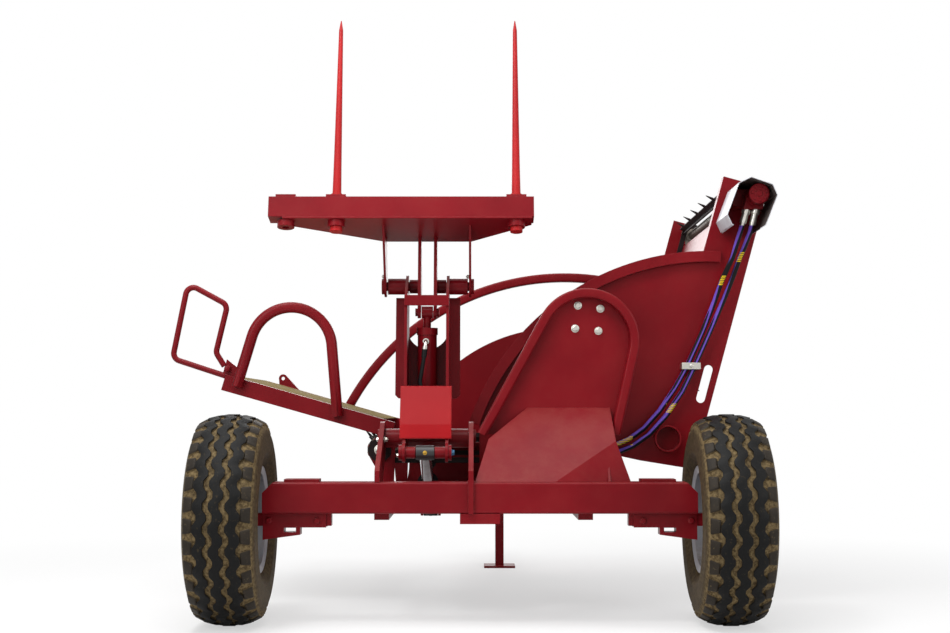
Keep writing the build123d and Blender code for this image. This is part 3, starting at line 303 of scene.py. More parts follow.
@dataclass(frozen=True)
class MuddyRubber:
    """Tyre rubber: worn dark on the ribs, dried mud in the grooves and on the walls."""

    name: str
    axle: Point
    half_track: float = HALF_TRACK * MM
    crown: float = TYRE_RADIUS * MM
    drop: float = 1.89
    rib: Colour = (14, 14, 14)
    block: Colour = (44, 38, 31)
    mud: Colour = (124, 106, 74)
    wall: Colour = (50, 42, 33)
    shade: Colour = (16, 15, 14)
    wet_mud: Colour = (70, 57, 38)

    def build(self) -> bpy.types.Material:
        """Make the material."""
        graph = Graph(self.name)
        side, _, _ = graph.axes()
        aside = ((side - self.axle[0]).maths("ABSOLUTE") - self.half_track).maths("ABSOLUTE")
        depth = graph.from_axis(self.axle) + aside * aside * self.drop - self.crown
        cloud = graph.noise(11.0, 5.0, 0.65)
        crumb = graph.noise(75.0, 5.0, 0.7)
        fine = graph.noise(500.0, 3.0, 0.6)
        bare = (depth + crumb * 0.004).ramp(-0.0075, -0.0025)
        shoulder = aside.ramp(0.086, 0.096)
        on_wall = 1.0 - depth.ramp(-0.034, -0.02)
        rubber = graph.mix(shoulder, linear(self.rib), linear(self.block))
        rubber = graph.mix(on_wall, rubber, linear(self.wall))
        rubber = graph.mix(cloud.ramp(0.3, 0.7) * 0.5, rubber, linear(self.shade))
        mud = graph.mix(crumb.ramp(0.35, 0.65), linear(self.wet_mud), linear(self.mud))
        muddy = (1.0 - bare) * (0.45 + cloud * 0.8) * (1.0 - on_wall * 0.65)
        smear = bare * crumb.ramp(0.58, 0.76) * (0.25 + shoulder * 0.3)
        cover = (muddy + smear).maths("MINIMUM", 1.0)
        height = crumb * cover * 1.4 + fine * 0.35
        return graph.finish(Base_Color=graph.mix(cover, rubber, mud),
                            Roughness=cover * 0.32 + cloud * 0.1 + 0.5,
                            Specular_IOR_Level=0.12, Normal=graph.bump(height, 0.0016, 0.55))


@dataclass(frozen=True)
class RamRod:
    """A chromed rod, oily in places, whose eye is painted black."""

    name: str
    eye: Point
    reach: float = 0.036
    bright: Colour = (214, 214, 218)
    oil: Colour = (128, 118, 100)
    black: Colour = (26, 25, 26)

    def build(self) -> bpy.types.Material:
        """Make the material."""
        graph = Graph(self.name)
        painted = 1.0 - graph.from_axis(self.eye).ramp(self.reach, self.reach + MM)
        cloud = graph.noise(14.0, 4.0)
        fine = graph.noise(300.0, 2.0)
        chrome = graph.mix(cloud.ramp(0.45, 0.7) * 0.3, linear(self.bright), linear(self.oil))
        colour = graph.mix(painted, chrome, linear(self.black))
        return graph.finish(Base_Color=colour, Metallic=1.0 - painted,
                            Roughness=painted * 0.3 + fine * 0.08 + 0.1,
                            Normal=graph.bump(fine, 0.0003, 0.15))


@dataclass(frozen=True)
class GuardSheet:
    """Folded sheet, pale outside, with painted shade on the faces that turn towards the motor and grime
    specks in that shade.
    """

    name: str
    motor: Point
    pale: Colour = (192, 193, 199)
    inner_shade: Colour = (82, 74, 72)
    dull: Colour = (150, 148, 150)
    grime: Colour = (104, 88, 78)

    def build(self) -> bpy.types.Material:
        """Make the material."""
        graph = Graph(self.name)
        across, _, up = graph.axes()
        normal = graph.make("ShaderNodeTexCoord", out="Normal")
        split = graph.make("ShaderNodeSeparateXYZ", None, {0: normal}, "X")
        level = Sock(graph, split.socket.node.outputs[2])
        outward = (across - self.motor[0]) * split + (up - self.motor[2]) * level
        # Faces that turn towards the motor get painted shade, flecked with grime.
        inside = 1.0 - outward.ramp(-0.004, 0.0)
        cloud = graph.noise(18.0, 4.0)
        speck = graph.noise(90.0, 4.0, 0.7)
        pale = graph.mix(cloud.ramp(0.4, 0.7) * 0.35, linear(self.pale), linear(self.dull))
        inner_shade = graph.mix(speck.ramp(0.5, 0.75) * 0.5, linear(self.inner_shade), linear(self.grime))
        soft, _ = graph.rounded(0.002)
        return graph.finish(Base_Color=graph.mix(inside, pale, inner_shade), Roughness=speck * 0.1 + 0.36,
                            Specular_IOR_Level=0.25, Normal=graph.bump(speck, 0.0003, 0.2, soft))


@dataclass(frozen=True)
class HoseCover:
    """Hose rubber with a purple stripe that is partly its own colour and partly a painted highlight, yellow
    marks and plated ends.
    """

    name: str
    plated_above: float
    marks: tuple[tuple[float, float, float, float], ...]
    stripe_and_highlight_share: float = 1.0
    rubber: Colour = (14, 14, 15)
    stripe_and_highlight: Colour = (98, 70, 166)
    mark: Colour = (225, 190, 30)
    plate: Colour = (205, 203, 196)

    def build(self) -> bpy.types.Material:
        """Make the material."""
        graph = Graph(self.name)
        across, _, up = graph.axes()
        fine = graph.noise(600.0, 2.0)
        twist = graph.noise(2.6, 1.0)
        # The purple stripe lies where the hose faces left and back: partly the hose's own stripe, partly a
        # painted highlight.
        side = graph.facing((-0.75, -0.66, 0.0)) + (twist - 0.5) * 1.8
        stripe_and_highlight_share = side.ramp(0.55, 0.62) * (1.0 - side.ramp(0.94, 1.0)) * self.stripe_and_highlight_share
        colour = graph.mix(stripe_and_highlight_share, linear(self.rubber), linear(self.stripe_and_highlight))
        front = graph.facing((0.0, -1.0, 0.0)).ramp(0.55, 0.65)
        marked = None
        for low, high, left, right in self.marks:
            band = up.ramp(low - MM, low) * (1.0 - up.ramp(high, high + MM))
            band = band * across.ramp(left - MM, left) * (1.0 - across.ramp(right, right + MM))
            marked = band if marked is None else marked + band
        beads = (up * 900.0).maths("SINE").ramp(-0.5, 0.2)
        if marked is not None:
            colour = graph.mix(marked * front * beads, colour, linear(self.mark))
        plated = up.ramp(self.plated_above - MM / 2, self.plated_above + MM / 2)
        colour = graph.mix(plated, colour, linear(self.plate))
        return graph.finish(Base_Color=colour, Metallic=plated,
                            Roughness=0.46 - plated * 0.16 + fine * 0.05,
                            Specular_IOR_Level=0.14, Normal=graph.bump(fine, 0.0003, 0.3))


class Finish(Enum):
    """The finishes of the machine."""

    FRAME = Paint("frame_maroon", (118, 12, 22), dust=0.16)
    COVER = Paint("cover_red", (160, 11, 20), gloss=0.36, dust=0.1, worn_edge_and_highlight_colour=(190, 60, 60), soften=0.012)
    TINE = Paint("tine_red", (166, 30, 32), gloss=0.4, dust=0.2, dust_colour=(150, 95, 82),
                 worn_edge_and_highlight_colour=(178, 70, 66))
    WHEEL = Paint("wheel_silver", (168, 170, 176), gloss=0.34, dust=0.8, dust_colour=(128, 104, 72),
                  worn_edge_and_highlight_colour=(205, 205, 208), metal=0.35)
    GUARD = GuardSheet("guard_grey", (0.0, 0.0, 0.0))
    BLACK = Paint("cast_black", (22, 22, 24), gloss=0.42, dust=0.3, dust_colour=(90, 76, 60),
                  worn_edge_and_highlight_colour=(70, 66, 62))
    # Olive deck colour: partly the deck's own paint, partly a painted reflection of grass in its gloss.
    FLOOR = Paint("deck_film", (104, 84, 38), gloss=0.72, dust=0.6, dust_colour=(122, 110, 60), shine=0.08,
                  coat=0.0)
    STEEL = Metal("bare_steel", (120, 112, 104), 0.38, (74, 52, 38), 0.75)
    SLAT = Paint("slat_steel", (30, 22, 22), gloss=0.55, dust=0.35, dust_colour=(70, 50, 42),
                 worn_edge_and_highlight_colour=(70, 52, 48))
    CHROME = RamRod("rod_chrome", (0.0, 0.0, 0.0))
    BRASS = Metal("nipple_brass", (176, 140, 60), 0.3, (90, 70, 40), 0.3)
    CAP = Paint("cap_blue", (78, 128, 168), gloss=0.5, dust=0.2, dust_colour=(120, 118, 110), edge=0.1)
    ZINC = Metal("clamp_zinc", (198, 196, 188), 0.28, (140, 128, 100), 0.35)
    TYRE = MuddyRubber("tyre", (0.0, 0.0, 0.0))
    HOSE = HoseCover("hose_rubber", 1.642, ((1.396, 1.436, 1.0, 1.1), (1.492, 1.532, 1.137, 1.3),
                                            (0.85, 0.888, 0.84, 1.0), (0.712, 0.75, 0.5, 0.695)))
    ARM_HOSE = HoseCover("arm_hose_rubber", 1.118, (), 0.0)


class Palette:
    """Makes each material once and puts it on pieces."""

    def __init__(self, axle: Point, eye: Point, motor: Point) -> None:
        """Start with nothing made, and note the places that finishes are centred on.

        Args:
            axle: the axle's middle, for the tyres' mud.
            eye: the lift rod's eye, for its black end.
            motor: the middle of the motor guard, for the painted shade on its inside.
        """
        self.places = {Finish.TYRE: axle, Finish.CHROME: eye, Finish.GUARD: motor}
        self.made: dict[Finish, bpy.types.Material] = {}

    def get(self, finish: Finish) -> bpy.types.Material:
        """Hand out a finish's material, making it on first use."""
        if finish not in self.made:
            recipe = finish.value
            if finish in self.places:
                recipe = type(recipe)(recipe.name, self.places[finish])
            self.made[finish] = recipe.build()
        return self.made[finish]

    def dress(self, piece: bpy.types.Object, finish: Finish) -> None:
        """Give a piece one finish all over."""
        if not piece.material_slots:
            piece.data.materials.append(self.get(finish))
        for slot in piece.material_slots:
            slot.material = self.get(finish)


class Bench:
    """The modelling operators, with nothing else selected."""

    @staticmethod
    def clear() -> None:
        """Deselect everything in object mode."""
        if bpy.context.object and bpy.context.object.mode != "OBJECT":
            bpy.ops.object.mode_set(mode="OBJECT")
        bpy.ops.object.select_all(action="DESELECT")

    @staticmethod
    def pick(piece: bpy.types.Object) -> None:
        """Make one object the only selected and active one."""
        Bench.clear()
        piece.select_set(True)
        bpy.context.view_layer.objects.active = piece

    @staticmethod
    def edit(piece: bpy.types.Object, choose: Callable[[bmesh.types.BMFace], bool] | None = None) -> None:
        """Go to edit mode on a piece.

        Args:
            piece: the object.
            choose: says of each face whether it is selected; everything is selected without it.
        """
        if bpy.context.object is not piece or piece.mode != "EDIT":
            Bench.pick(piece)
            bpy.ops.object.mode_set(mode="EDIT")
        bpy.ops.mesh.select_mode(type="FACE")
        bpy.ops.mesh.select_all(action="DESELECT" if choose else "SELECT")
        if choose:
            mesh = bmesh.from_edit_mesh(piece.data)
            for face in mesh.faces:
                face.select_set(choose(face))
            bmesh.update_edit_mesh(piece.data)

    @staticmethod
    def done() -> bpy.types.Object:
        """Leave edit mode and settle the active piece at the origin.

        Returns:
            The piece.
        """
        piece = bpy.context.object
        if piece.mode != "OBJECT":
            bpy.ops.object.mode_set(mode="OBJECT")
        Bench.pick(piece)
        bpy.ops.object.transform_apply(location=True, rotation=True, scale=True)
        return piece

    @staticmethod
    def modify(piece: bpy.types.Object, kind: str, **settings: object) -> None:
        """Add a modifier and apply it."""
        Bench.pick(piece)
        modifier = piece.modifiers.new(kind.lower(), kind)
        for key, value in settings.items():
            setattr(modifier, key, value)
        bpy.ops.object.modifier_apply(modifier=modifier.name)

    @staticmethod
    def smooth(piece: bpy.types.Object, angle: float = 35.0) -> None:
        """Shade smooth where faces meet flatter than an angle in degrees."""
        Bench.pick(piece)
        bpy.ops.object.shade_smooth_by_angle(angle=math.radians(angle))

    @staticmethod
    def tidy(piece: bpy.types.Object) -> None:
        """Merge doubles and turn all faces outwards."""
        Bench.edit(piece)
        bpy.ops.mesh.remove_doubles(threshold=1e-5)
        bpy.ops.mesh.normals_make_consistent(inside=False)
        bpy.ops.object.mode_set(mode="OBJECT")

    @staticmethod
    def copies(master: bpy.types.Object, places: Iterable[Matrix]) -> list[bpy.types.Object]:
        """Copy a finished piece, each copy with its own mesh.

        Args:
            master: the piece at the origin.
            places: where each copy goes.

        Returns:
            The copies, with their places in their meshes.
        """
        made = []
        for place in places:
            twin = master.copy()
            twin.data = master.data.copy()
            twin.data.transform(place)
            bpy.context.collection.objects.link(twin)
            made.append(twin)
        return made

    @staticmethod
    def join(pieces: Sequence[bpy.types.Object], name: str) -> bpy.types.Object:
        """Join pieces into one object of that name."""
        Bench.clear()
        for piece in pieces:
            piece.select_set(True)
        bpy.context.view_layer.objects.active = pieces[0]
        if len(pieces) > 1:
            bpy.ops.object.join()
        joined = bpy.context.object
        joined.name = name
        joined.data.name = name
        return joined

    @staticmethod
    def drop(piece: bpy.types.Object) -> None:
        """Delete a master piece."""
        Bench.pick(piece)
        bpy.ops.object.delete()


@dataclass
class AxleFrame:
    """Places in millimetres from the axle's middle, Y ahead and Z above the ground."""

    shift: Vector

    @classmethod
    def from_axle(cls) -> "AxleFrame":
        """Read the frame from the axle beam's box."""
        low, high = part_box("axle_beam")
        return cls(Vector(((low[0] + high[0]) / 2, (low[1] + high[1]) / 2, 0.0)))

    def at(self, x: float, y: float, z: float) -> Vector:
        """Turn a place into the shared frame, in metres."""
        return Vector((x, y, z)) * MM + self.shift

    def seat(self, place: Point, way: Point) -> Matrix:
        """Put a piece modelled up +Z at a place, pointing along a way."""
        turn = Vector((0.0, 0.0, 1.0)).rotation_difference(Vector(way)).to_matrix().to_4x4()
        return Matrix.Translation(self.at(*place)) @ turn


@dataclass
class Tyre:
    """A ribbed implement tyre: carcass, zigzag ribs and shoulder blocks."""

    centre: Vector
    pitches: int = 30
    tread: float = 11.0
    root: float = 4.0
    rib_width: float = 40.0
    rib_sway: float = 8.0
    rib_places: tuple[float, ...] = (-60.0, 0.0, 60.0)
    crown: tuple[tuple[float, float], ...] = ((0, 422.0), (20, 422.0), (48, 418.0), (92, 406.0), (127, 386.0))
    profile: tuple[tuple[float, float], ...] = (
        (-106, 194), (-106, 224), (-118, 234), (-121, 240), (-137, 262), (-141, 272), (-140, 277),
        (-145, 305), (-139, 340), (-140, 346), (-134, 360), (-126, 376), (-112, 387), (-92, 395), (-48, 407),
        (-20, 411), (20, 411), (48, 407), (92, 395), (112, 387), (126, 376), (134, 360), (140, 346),
        (139, 340), (145, 305), (140, 277), (141, 272), (137, 262), (121, 240), (118, 234), (106, 224),
        (106, 194))
    spin_steps: int = 120
    block_size: tuple[float, float, float] = (46.0, 74.0, 22.0)
    block_place: tuple[float, float] = (107.0, 386.5)
    block_lean: float = -28.0

    def top(self, aside: float) -> float:
        """Give the tread's radius at a place across the tyre, in millimetres."""
        aside = abs(aside)
        for (near, high), (far, low) in zip(self.crown, self.crown[1:]):
            if aside <= far:
                return high + (low - high) * (aside - near) / (far - near)
        return self.crown[-1][1]

    def carcass(self) -> bpy.types.Object:
        """Spin the profile into the tyre's body."""
        Bench.clear()
        bpy.ops.mesh.primitive_plane_add(size=0.02)
        piece = bpy.context.object
        bpy.ops.object.mode_set(mode="EDIT")
        bpy.ops.mesh.select_mode(type="VERT")
        bpy.ops.mesh.select_all(action="SELECT")
        bpy.ops.mesh.merge(type="CENTER")
        start = self.profile[0]
        bpy.ops.mesh.select_all(action="SELECT")
        bpy.ops.transform.translate(value=(start[0] * MM, 0.0, start[1] * MM))
        for before, after in zip(self.profile, self.profile[1:]):
            step = ((after[0] - before[0]) * MM, 0.0, (after[1] - before[1]) * MM)
            bpy.ops.mesh.extrude_region_move(TRANSFORM_OT_translate={"value": step})
        bpy.ops.mesh.select_all(action="SELECT")
        bpy.ops.mesh.spin(steps=self.spin_steps, angle=2 * math.pi, center=(0, 0, 0), axis=(1, 0, 0))
        bpy.ops.object.mode_set(mode="OBJECT")
        Bench.tidy(piece)
        Bench.smooth(piece, 50.0)
        return piece

    def rib(self, middle: float, turn: float) -> bpy.types.Object:
        """Model one zigzag rib round the crown.

        Args:
            middle: its place across the tyre in millimetres.
            turn: its start round the tyre in radians.

        Returns:
            The rib.
        """
        Bench.clear()
        left, right = middle - self.rib_width / 2, middle + self.rib_width / 2
        below = self.tread + self.root
        bpy.ops.mesh.primitive_circle_add(vertices=self.pitches * 4, radius=(self.top(left) - below) * MM,
                                          rotation=(0, math.pi / 2, 0))
        piece = bpy.context.object
        bpy.ops.object.transform_apply(location=False, rotation=True, scale=True)
        bpy.ops.object.mode_set(mode="EDIT")
        bpy.ops.mesh.select_mode(type="VERT")
        for phase, sway in ((1, 1.0), (2, 1.0), (3, -1.0), (4, -1.0)):
            bpy.ops.mesh.select_all(action="DESELECT")
            mesh = bmesh.from_edit_mesh(piece.data)
            mesh.verts.ensure_lookup_table()
            for corner in mesh.verts:
                corner.select_set(corner.index % 4 == phase % 4)
            bmesh.update_edit_mesh(piece.data)
            bpy.ops.transform.translate(value=(sway * self.rib_sway * MM, 0.0, 0.0))
        bpy.ops.mesh.select_all(action="SELECT")
        bpy.ops.transform.translate(value=(left * MM, 0.0, 0.0))
        bpy.ops.mesh.extrude_region_move(TRANSFORM_OT_translate={"value": (self.rib_width * MM, 0.0, 0.0)})
        grow = (self.top(right) - below) / (self.top(left) - below)
        bpy.ops.transform.resize(value=(1.0, grow, grow), center_override=(0.0, 0.0, 0.0))
        bpy.ops.object.mode_set(mode="OBJECT")
        piece.data.transform(Matrix.Rotation(turn, 4, "X"))
        Bench.tidy(piece)
        Bench.modify(piece, "SOLIDIFY", thickness=below * MM, offset=1.0)
        Bench.tidy(piece)
        Bench.modify(piece, "BEVEL", width=1.6 * MM, segments=2, limit_method="ANGLE",
                     angle_limit=math.radians(50))
        Bench.smooth(piece, 40.0)
        return piece

    def block(self) -> bpy.types.Object:
        """Model one shoulder block at the top of the tyre, on its right side."""
        Bench.clear()
        bpy.ops.mesh.primitive_cube_add(size=1.0, location=(0.0, 0.0, 0.0))
        piece = bpy.context.object
        piece.scale = Vector(self.block_size) * MM
        bpy.ops.object.transform_apply(location=False, rotation=False, scale=True)
        Bench.edit(piece, lambda face: face.normal.z > 0.9)
        bpy.ops.transform.resize(value=(0.9, 0.86, 1.0))
        Bench.edit(piece, lambda face: face.normal.x < -0.9)
        bpy.ops.transform.resize(value=(1.0, 0.72, 1.0))
        Bench.edit(piece)
        bpy.ops.transform.rotate(value=math.radians(self.block_lean), orient_axis="Y",
                                 center_override=(0, 0, 0))
        bpy.ops.transform.translate(value=(self.block_place[0] * MM, 0.0, self.block_place[1] * MM))
        Bench.done()
        Bench.modify(piece, "BEVEL", width=7 * MM, segments=3, limit_method="ANGLE",
                     angle_limit=math.radians(40))
        Bench.smooth(piece, 40.0)
        return piece

    def build(self, name: str) -> bpy.types.Object:
        """Make the whole tyre in place.

        Args:
            name: the finished piece's name.

        Returns:
            The piece.
        """
        pieces = [self.carcass()]
        step = 2 * math.pi / self.pitches
        pieces += [self.rib(middle, step * 0.25) for middle in self.rib_places]
        block = self.block()
        flip = Matrix.Rotation(math.pi, 4, "Z")
        turns = [Matrix.Rotation(step * i, 4, "X") for i in range(self.pitches)]
        half_turns = [Matrix.Rotation(step * (i + 0.5), 4, "X") @ flip for i in range(self.pitches)]
        pieces += Bench.copies(block, turns + half_turns)
        Bench.drop(block)
        tyre = Bench.join(pieces, name)
        tyre.data.transform(Matrix.Translation(self.centre))
        return tyre


@dataclass
class Fasteners:
    """Bolts, nuts and weld beads, each modelled once and copied."""

    frame: AxleFrame

    def bolt(self, across: float, tall: float, washer: float, stud: float) -> bpy.types.Object:
        """Model a hexagon head or nut on its washer, standing up from the origin.

        Args:
            across: width across flats in millimetres.
            tall: height of the hexagon.
            washer: radius of the washer.
            stud: length of thread that stands out above.

        Returns:
            The master piece.
        """
        thin = 0.16 * tall
        Bench.clear()
        bpy.ops.mesh.primitive_cylinder_add(vertices=6, radius=across / math.sqrt(3) * MM, depth=tall * MM,
                                            location=(0, 0, (thin + tall / 2) * MM))
        head = bpy.context.object
        Bench.edit(head, lambda face: face.normal.z > 0.9)
        bpy.ops.mesh.inset(thickness=across * 0.09 * MM)
        bpy.ops.transform.translate(value=(0, 0, tall * 0.12 * MM))
        if stud:
            bpy.ops.mesh.inset(thickness=across * 0.2 * MM)
            bpy.ops.mesh.extrude_region_move(TRANSFORM_OT_translate={"value": (0, 0, stud * MM)})
            bpy.ops.transform.resize(value=(0.86, 0.86, 1.0))
        Bench.done()
        Bench.clear()
        bpy.ops.mesh.primitive_cylinder_add(vertices=20, radius=washer * MM, depth=thin * MM,
                                            location=(0, 0, thin / 2 * MM))
        ring = bpy.context.object
        Bench.edit(ring, lambda face: face.normal.z > 0.9)
        bpy.ops.mesh.inset(thickness=washer * 0.08 * MM)
        bpy.ops.transform.translate(value=(0, 0, thin * 0.25 * MM))
        Bench.done()
        piece = Bench.join([head, ring], "bolt_master")
        Bench.smooth(piece, 30.0)
        return piece

    def bead(self, radius: float) -> bpy.types.Object:
        """Model one ripple of a weld."""
        Bench.clear()
        bpy.ops.mesh.primitive_uv_sphere_add(segments=8, ring_count=6, radius=radius * MM)
        piece = bpy.context.object
        Bench.edit(piece)
        bpy.ops.transform.resize(value=(1.0, 1.0, 0.75))
        Bench.done()
        Bench.smooth(piece, 80.0)
        return piece

    def place(self, master: bpy.types.Object, seats: Sequence[tuple[Point, Point]],
              name: str) -> bpy.types.Object:
        """Copy a master to its seats and join the copies.

        Args:
            master: the piece that stands up from the origin; it is deleted.
            seats: places in millimetres and the ways that they point.
            name: the joined piece's name.

        Returns:
            The joined piece.
        """
        made = Bench.copies(master, [self.frame.seat(place, way) for place, way in seats])
        Bench.drop(master)
        return Bench.join(made, name)

    def weld(self, lines: Sequence[tuple[Point, Point]], radius: float, name: str) -> bpy.types.Object:
        """Lay ripples along straight seams.

        Args:
            lines: start and end of each seam in millimetres.
            radius: the bead's radius.
            name: the piece's name.

        Returns:
            The piece.
        """
        seats = []
        for start, end in lines:
            first, last = Vector(start), Vector(end)
            count = max(2, int((last - first).length / (radius * 1.15)))
            way = tuple((last - first).normalized())
            seats += [(tuple(first.lerp(last, i / count)), way) for i in range(count + 1)]
        return self.place(self.bead(radius), seats, name)


@dataclass(frozen=True)
class BoltRow:
    """Bolts of one size on one body: width over flats, height, washer radius and stud, and their seats."""

    name: str
    body: str
    size: tuple[float, float, float, float]
    seats: tuple[tuple[Point, Point], ...]
    finish: Finish = Finish.ZINC
    slot: str = "clamp_zinc"


@dataclass(frozen=True)
class WeldRow:
    """Straight weld seams of one bead size on one body."""

    name: str
    body: str
    radius: float
    lines: tuple[tuple[Point, Point], ...]


BACK, LEFT, RIGHT = (0.0, -1.0, 0.0), (-1.0, 0.0, 0.0), (1.0, 0.0, 0.0)
BOLT_ROWS = (
    BoltRow("panel_bolts", "chassis", (22, 11, 17, 0), tuple(
        ((x, 255.0, z), BACK) for x, z in ((415, 1302), (510, 1289), (403, 1205), (501, 1195)))),
    BoltRow("lug_bolt", "chassis", (19, 10, 14, 3), (((-422, 280, 737), LEFT), ((-402, 280, 737), RIGHT))),
    BoltRow("tail_nut", "chassis", (30, 12, 24, 8), (((-430, 405.9, 690), BACK),)),
    BoltRow("clamp_bolt", "chassis", (11, 6, 8, 0), (((906, 352, 1050), BACK),)),
    BoltRow("carrier_bolts", "chassis", (20, 9, 14, 0), tuple(
        ((sign * x, -33.0, z), BACK) for sign in (-1, 1) for x, z in ((653, 419), (846, 420))),
        Finish.FRAME, "frame_maroon"),
    BoltRow("head_lock_bolts", "spear_head", (15, 8, 10, 3), (
        ((-412, 425, 1440), LEFT), ((-46, 425, 1440), LEFT))),
    BoltRow("loop_bolt", "chassis", (22, 9, 15, 0), (((-1092, 431.5, 1040), BACK),), Finish.FRAME,
            "frame_maroon"),
    BoltRow("eye_nipple", "lift_ram", (8, 5, 9, 2), (((-224, 56.4, 687), BACK),), Finish.BRASS, "rod_chrome"),
    BoltRow("ear_bolt", "lift_arm", (14, 7, 10, 0), (((-332, 74, 676), LEFT),)),
    BoltRow("ear_cap", "lift_arm", (22, 9, 15, 0), (((-116, 86, 687), RIGHT),), Finish.CAP, "cast_black"))
WELD_ROWS = (
    WeldRow("lug_welds", "chassis", 3.5, (
        ((-46.5, -62, 456), (-46.5, -62, 580)), ((-25.5, -62, 456), (-25.5, -62, 580)))),
    WeldRow("head_welds", "spear_head", 3.0, (
        ((-402, 378, 1604), (-402, 390, 1668)), ((-46, 378, 1604), (-46, 390, 1668)))))


@dataclass(frozen=True)
class BentTube:
    """A bent tube with rounded corners, made over its sharp solid."""

    node: str
    name: str
    corner: float
    steps: int = 5
    sharp: float = math.radians(60)
    foot: float = 0.2

    def long_edge(self, edge: bmesh.types.BMEdge, low: float) -> bool:
        """Say whether an edge is sharp and isn't round one of the tube's cut feet.

        Args:
            edge: the edge.
            low: the height of the tube's lowest point.

        Returns:
            True for an edge to round.
        """
        if len(edge.link_faces) != 2 or edge.calc_face_angle() < self.sharp:
            return False
        return not any(face.normal.z < -0.85 and face.calc_center_median().z < low + self.foot
                       for face in edge.link_faces)

    def build(self, solid: bpy.types.Object) -> bpy.types.Object:
        """Round the long edges of a copy of the solid.

        Args:
            solid: the sharp tube.

        Returns:
            The rounded tube.
        """
        twin = Bench.copies(solid, [Matrix.Identity(4)])[0]
        twin.name = twin.data.name = self.name
        Bench.tidy(twin)
        Bench.edit(twin)
        bpy.ops.mesh.select_mode(type="EDGE")
        bpy.ops.mesh.select_all(action="DESELECT")
        mesh = bmesh.from_edit_mesh(twin.data)
        low = min(corner.co.z for corner in mesh.verts)
        for edge in mesh.edges:
            edge.select_set(self.long_edge(edge, low))
        bmesh.update_edit_mesh(twin.data)
        bpy.ops.mesh.bevel(offset=self.corner * MM, segments=self.steps, affect="EDGES")
        bpy.ops.object.mode_set(mode="OBJECT")
        Bench.smooth(twin, 35.0)
        return twin


TUBES = (
    BentTube("platform_hoop", "round_platform_hoop", 18.0),
    BentTube("hoop_rim", "round_hoop_rim", 9.0),
    BentTube("front_arc_rail", "round_front_rail", 9.0))


@dataclass
class MotorCap:
    """The round end cap of the drive motor with its ring of screws."""

    frame: AxleFrame
    centre: Point = (1172.0, 181.0, 1768.0)
    radius: float = 43.0
    thick: float = 10.0
    screws: int = 7
    screw_ring: float = 30.0
    screw_rise: float = 12.0
    # Columns: inset and rise of each step of the face, from the rim inwards
    steps: tuple[tuple[float, float], ...] = ((4.0, 3.0), (20.0, 0.0), (0.8, -2.5), (5.0, 0.0), (0.8, 3.0))

    def build(self) -> bpy.types.Object:
        """Model the cap, facing backwards."""
        Bench.clear()
        bpy.ops.mesh.primitive_cylinder_add(vertices=48, radius=self.radius * MM, depth=self.thick * MM,
                                            location=(0, 0, self.thick / 2 * MM))
        cap = bpy.context.object
        for inset, rise in self.steps:
            Bench.edit(cap, lambda face: face.normal.z > 0.9 and len(face.verts) > 8)
            bpy.ops.mesh.inset(thickness=inset * MM)
            bpy.ops.transform.translate(value=(0, 0, rise * MM))
        Bench.done()
        Bench.smooth(cap, 30.0)
        cap.data.transform(self.frame.seat(self.centre, BACK))
        cap.name = "motor_cap"
        return cap

    def screw_seats(self) -> list[tuple[Point, Point]]:
        """Give the places of the cap's screws."""
        seats = []
        for number in range(self.screws):
            turn = 2 * math.pi * number / self.screws + 0.3
            place = (self.centre[0] + self.screw_ring * math.cos(turn), self.centre[1] - self.screw_rise,
                     self.centre[2] + self.screw_ring * math.sin(turn))
            seats.append((place, BACK))
        return seats


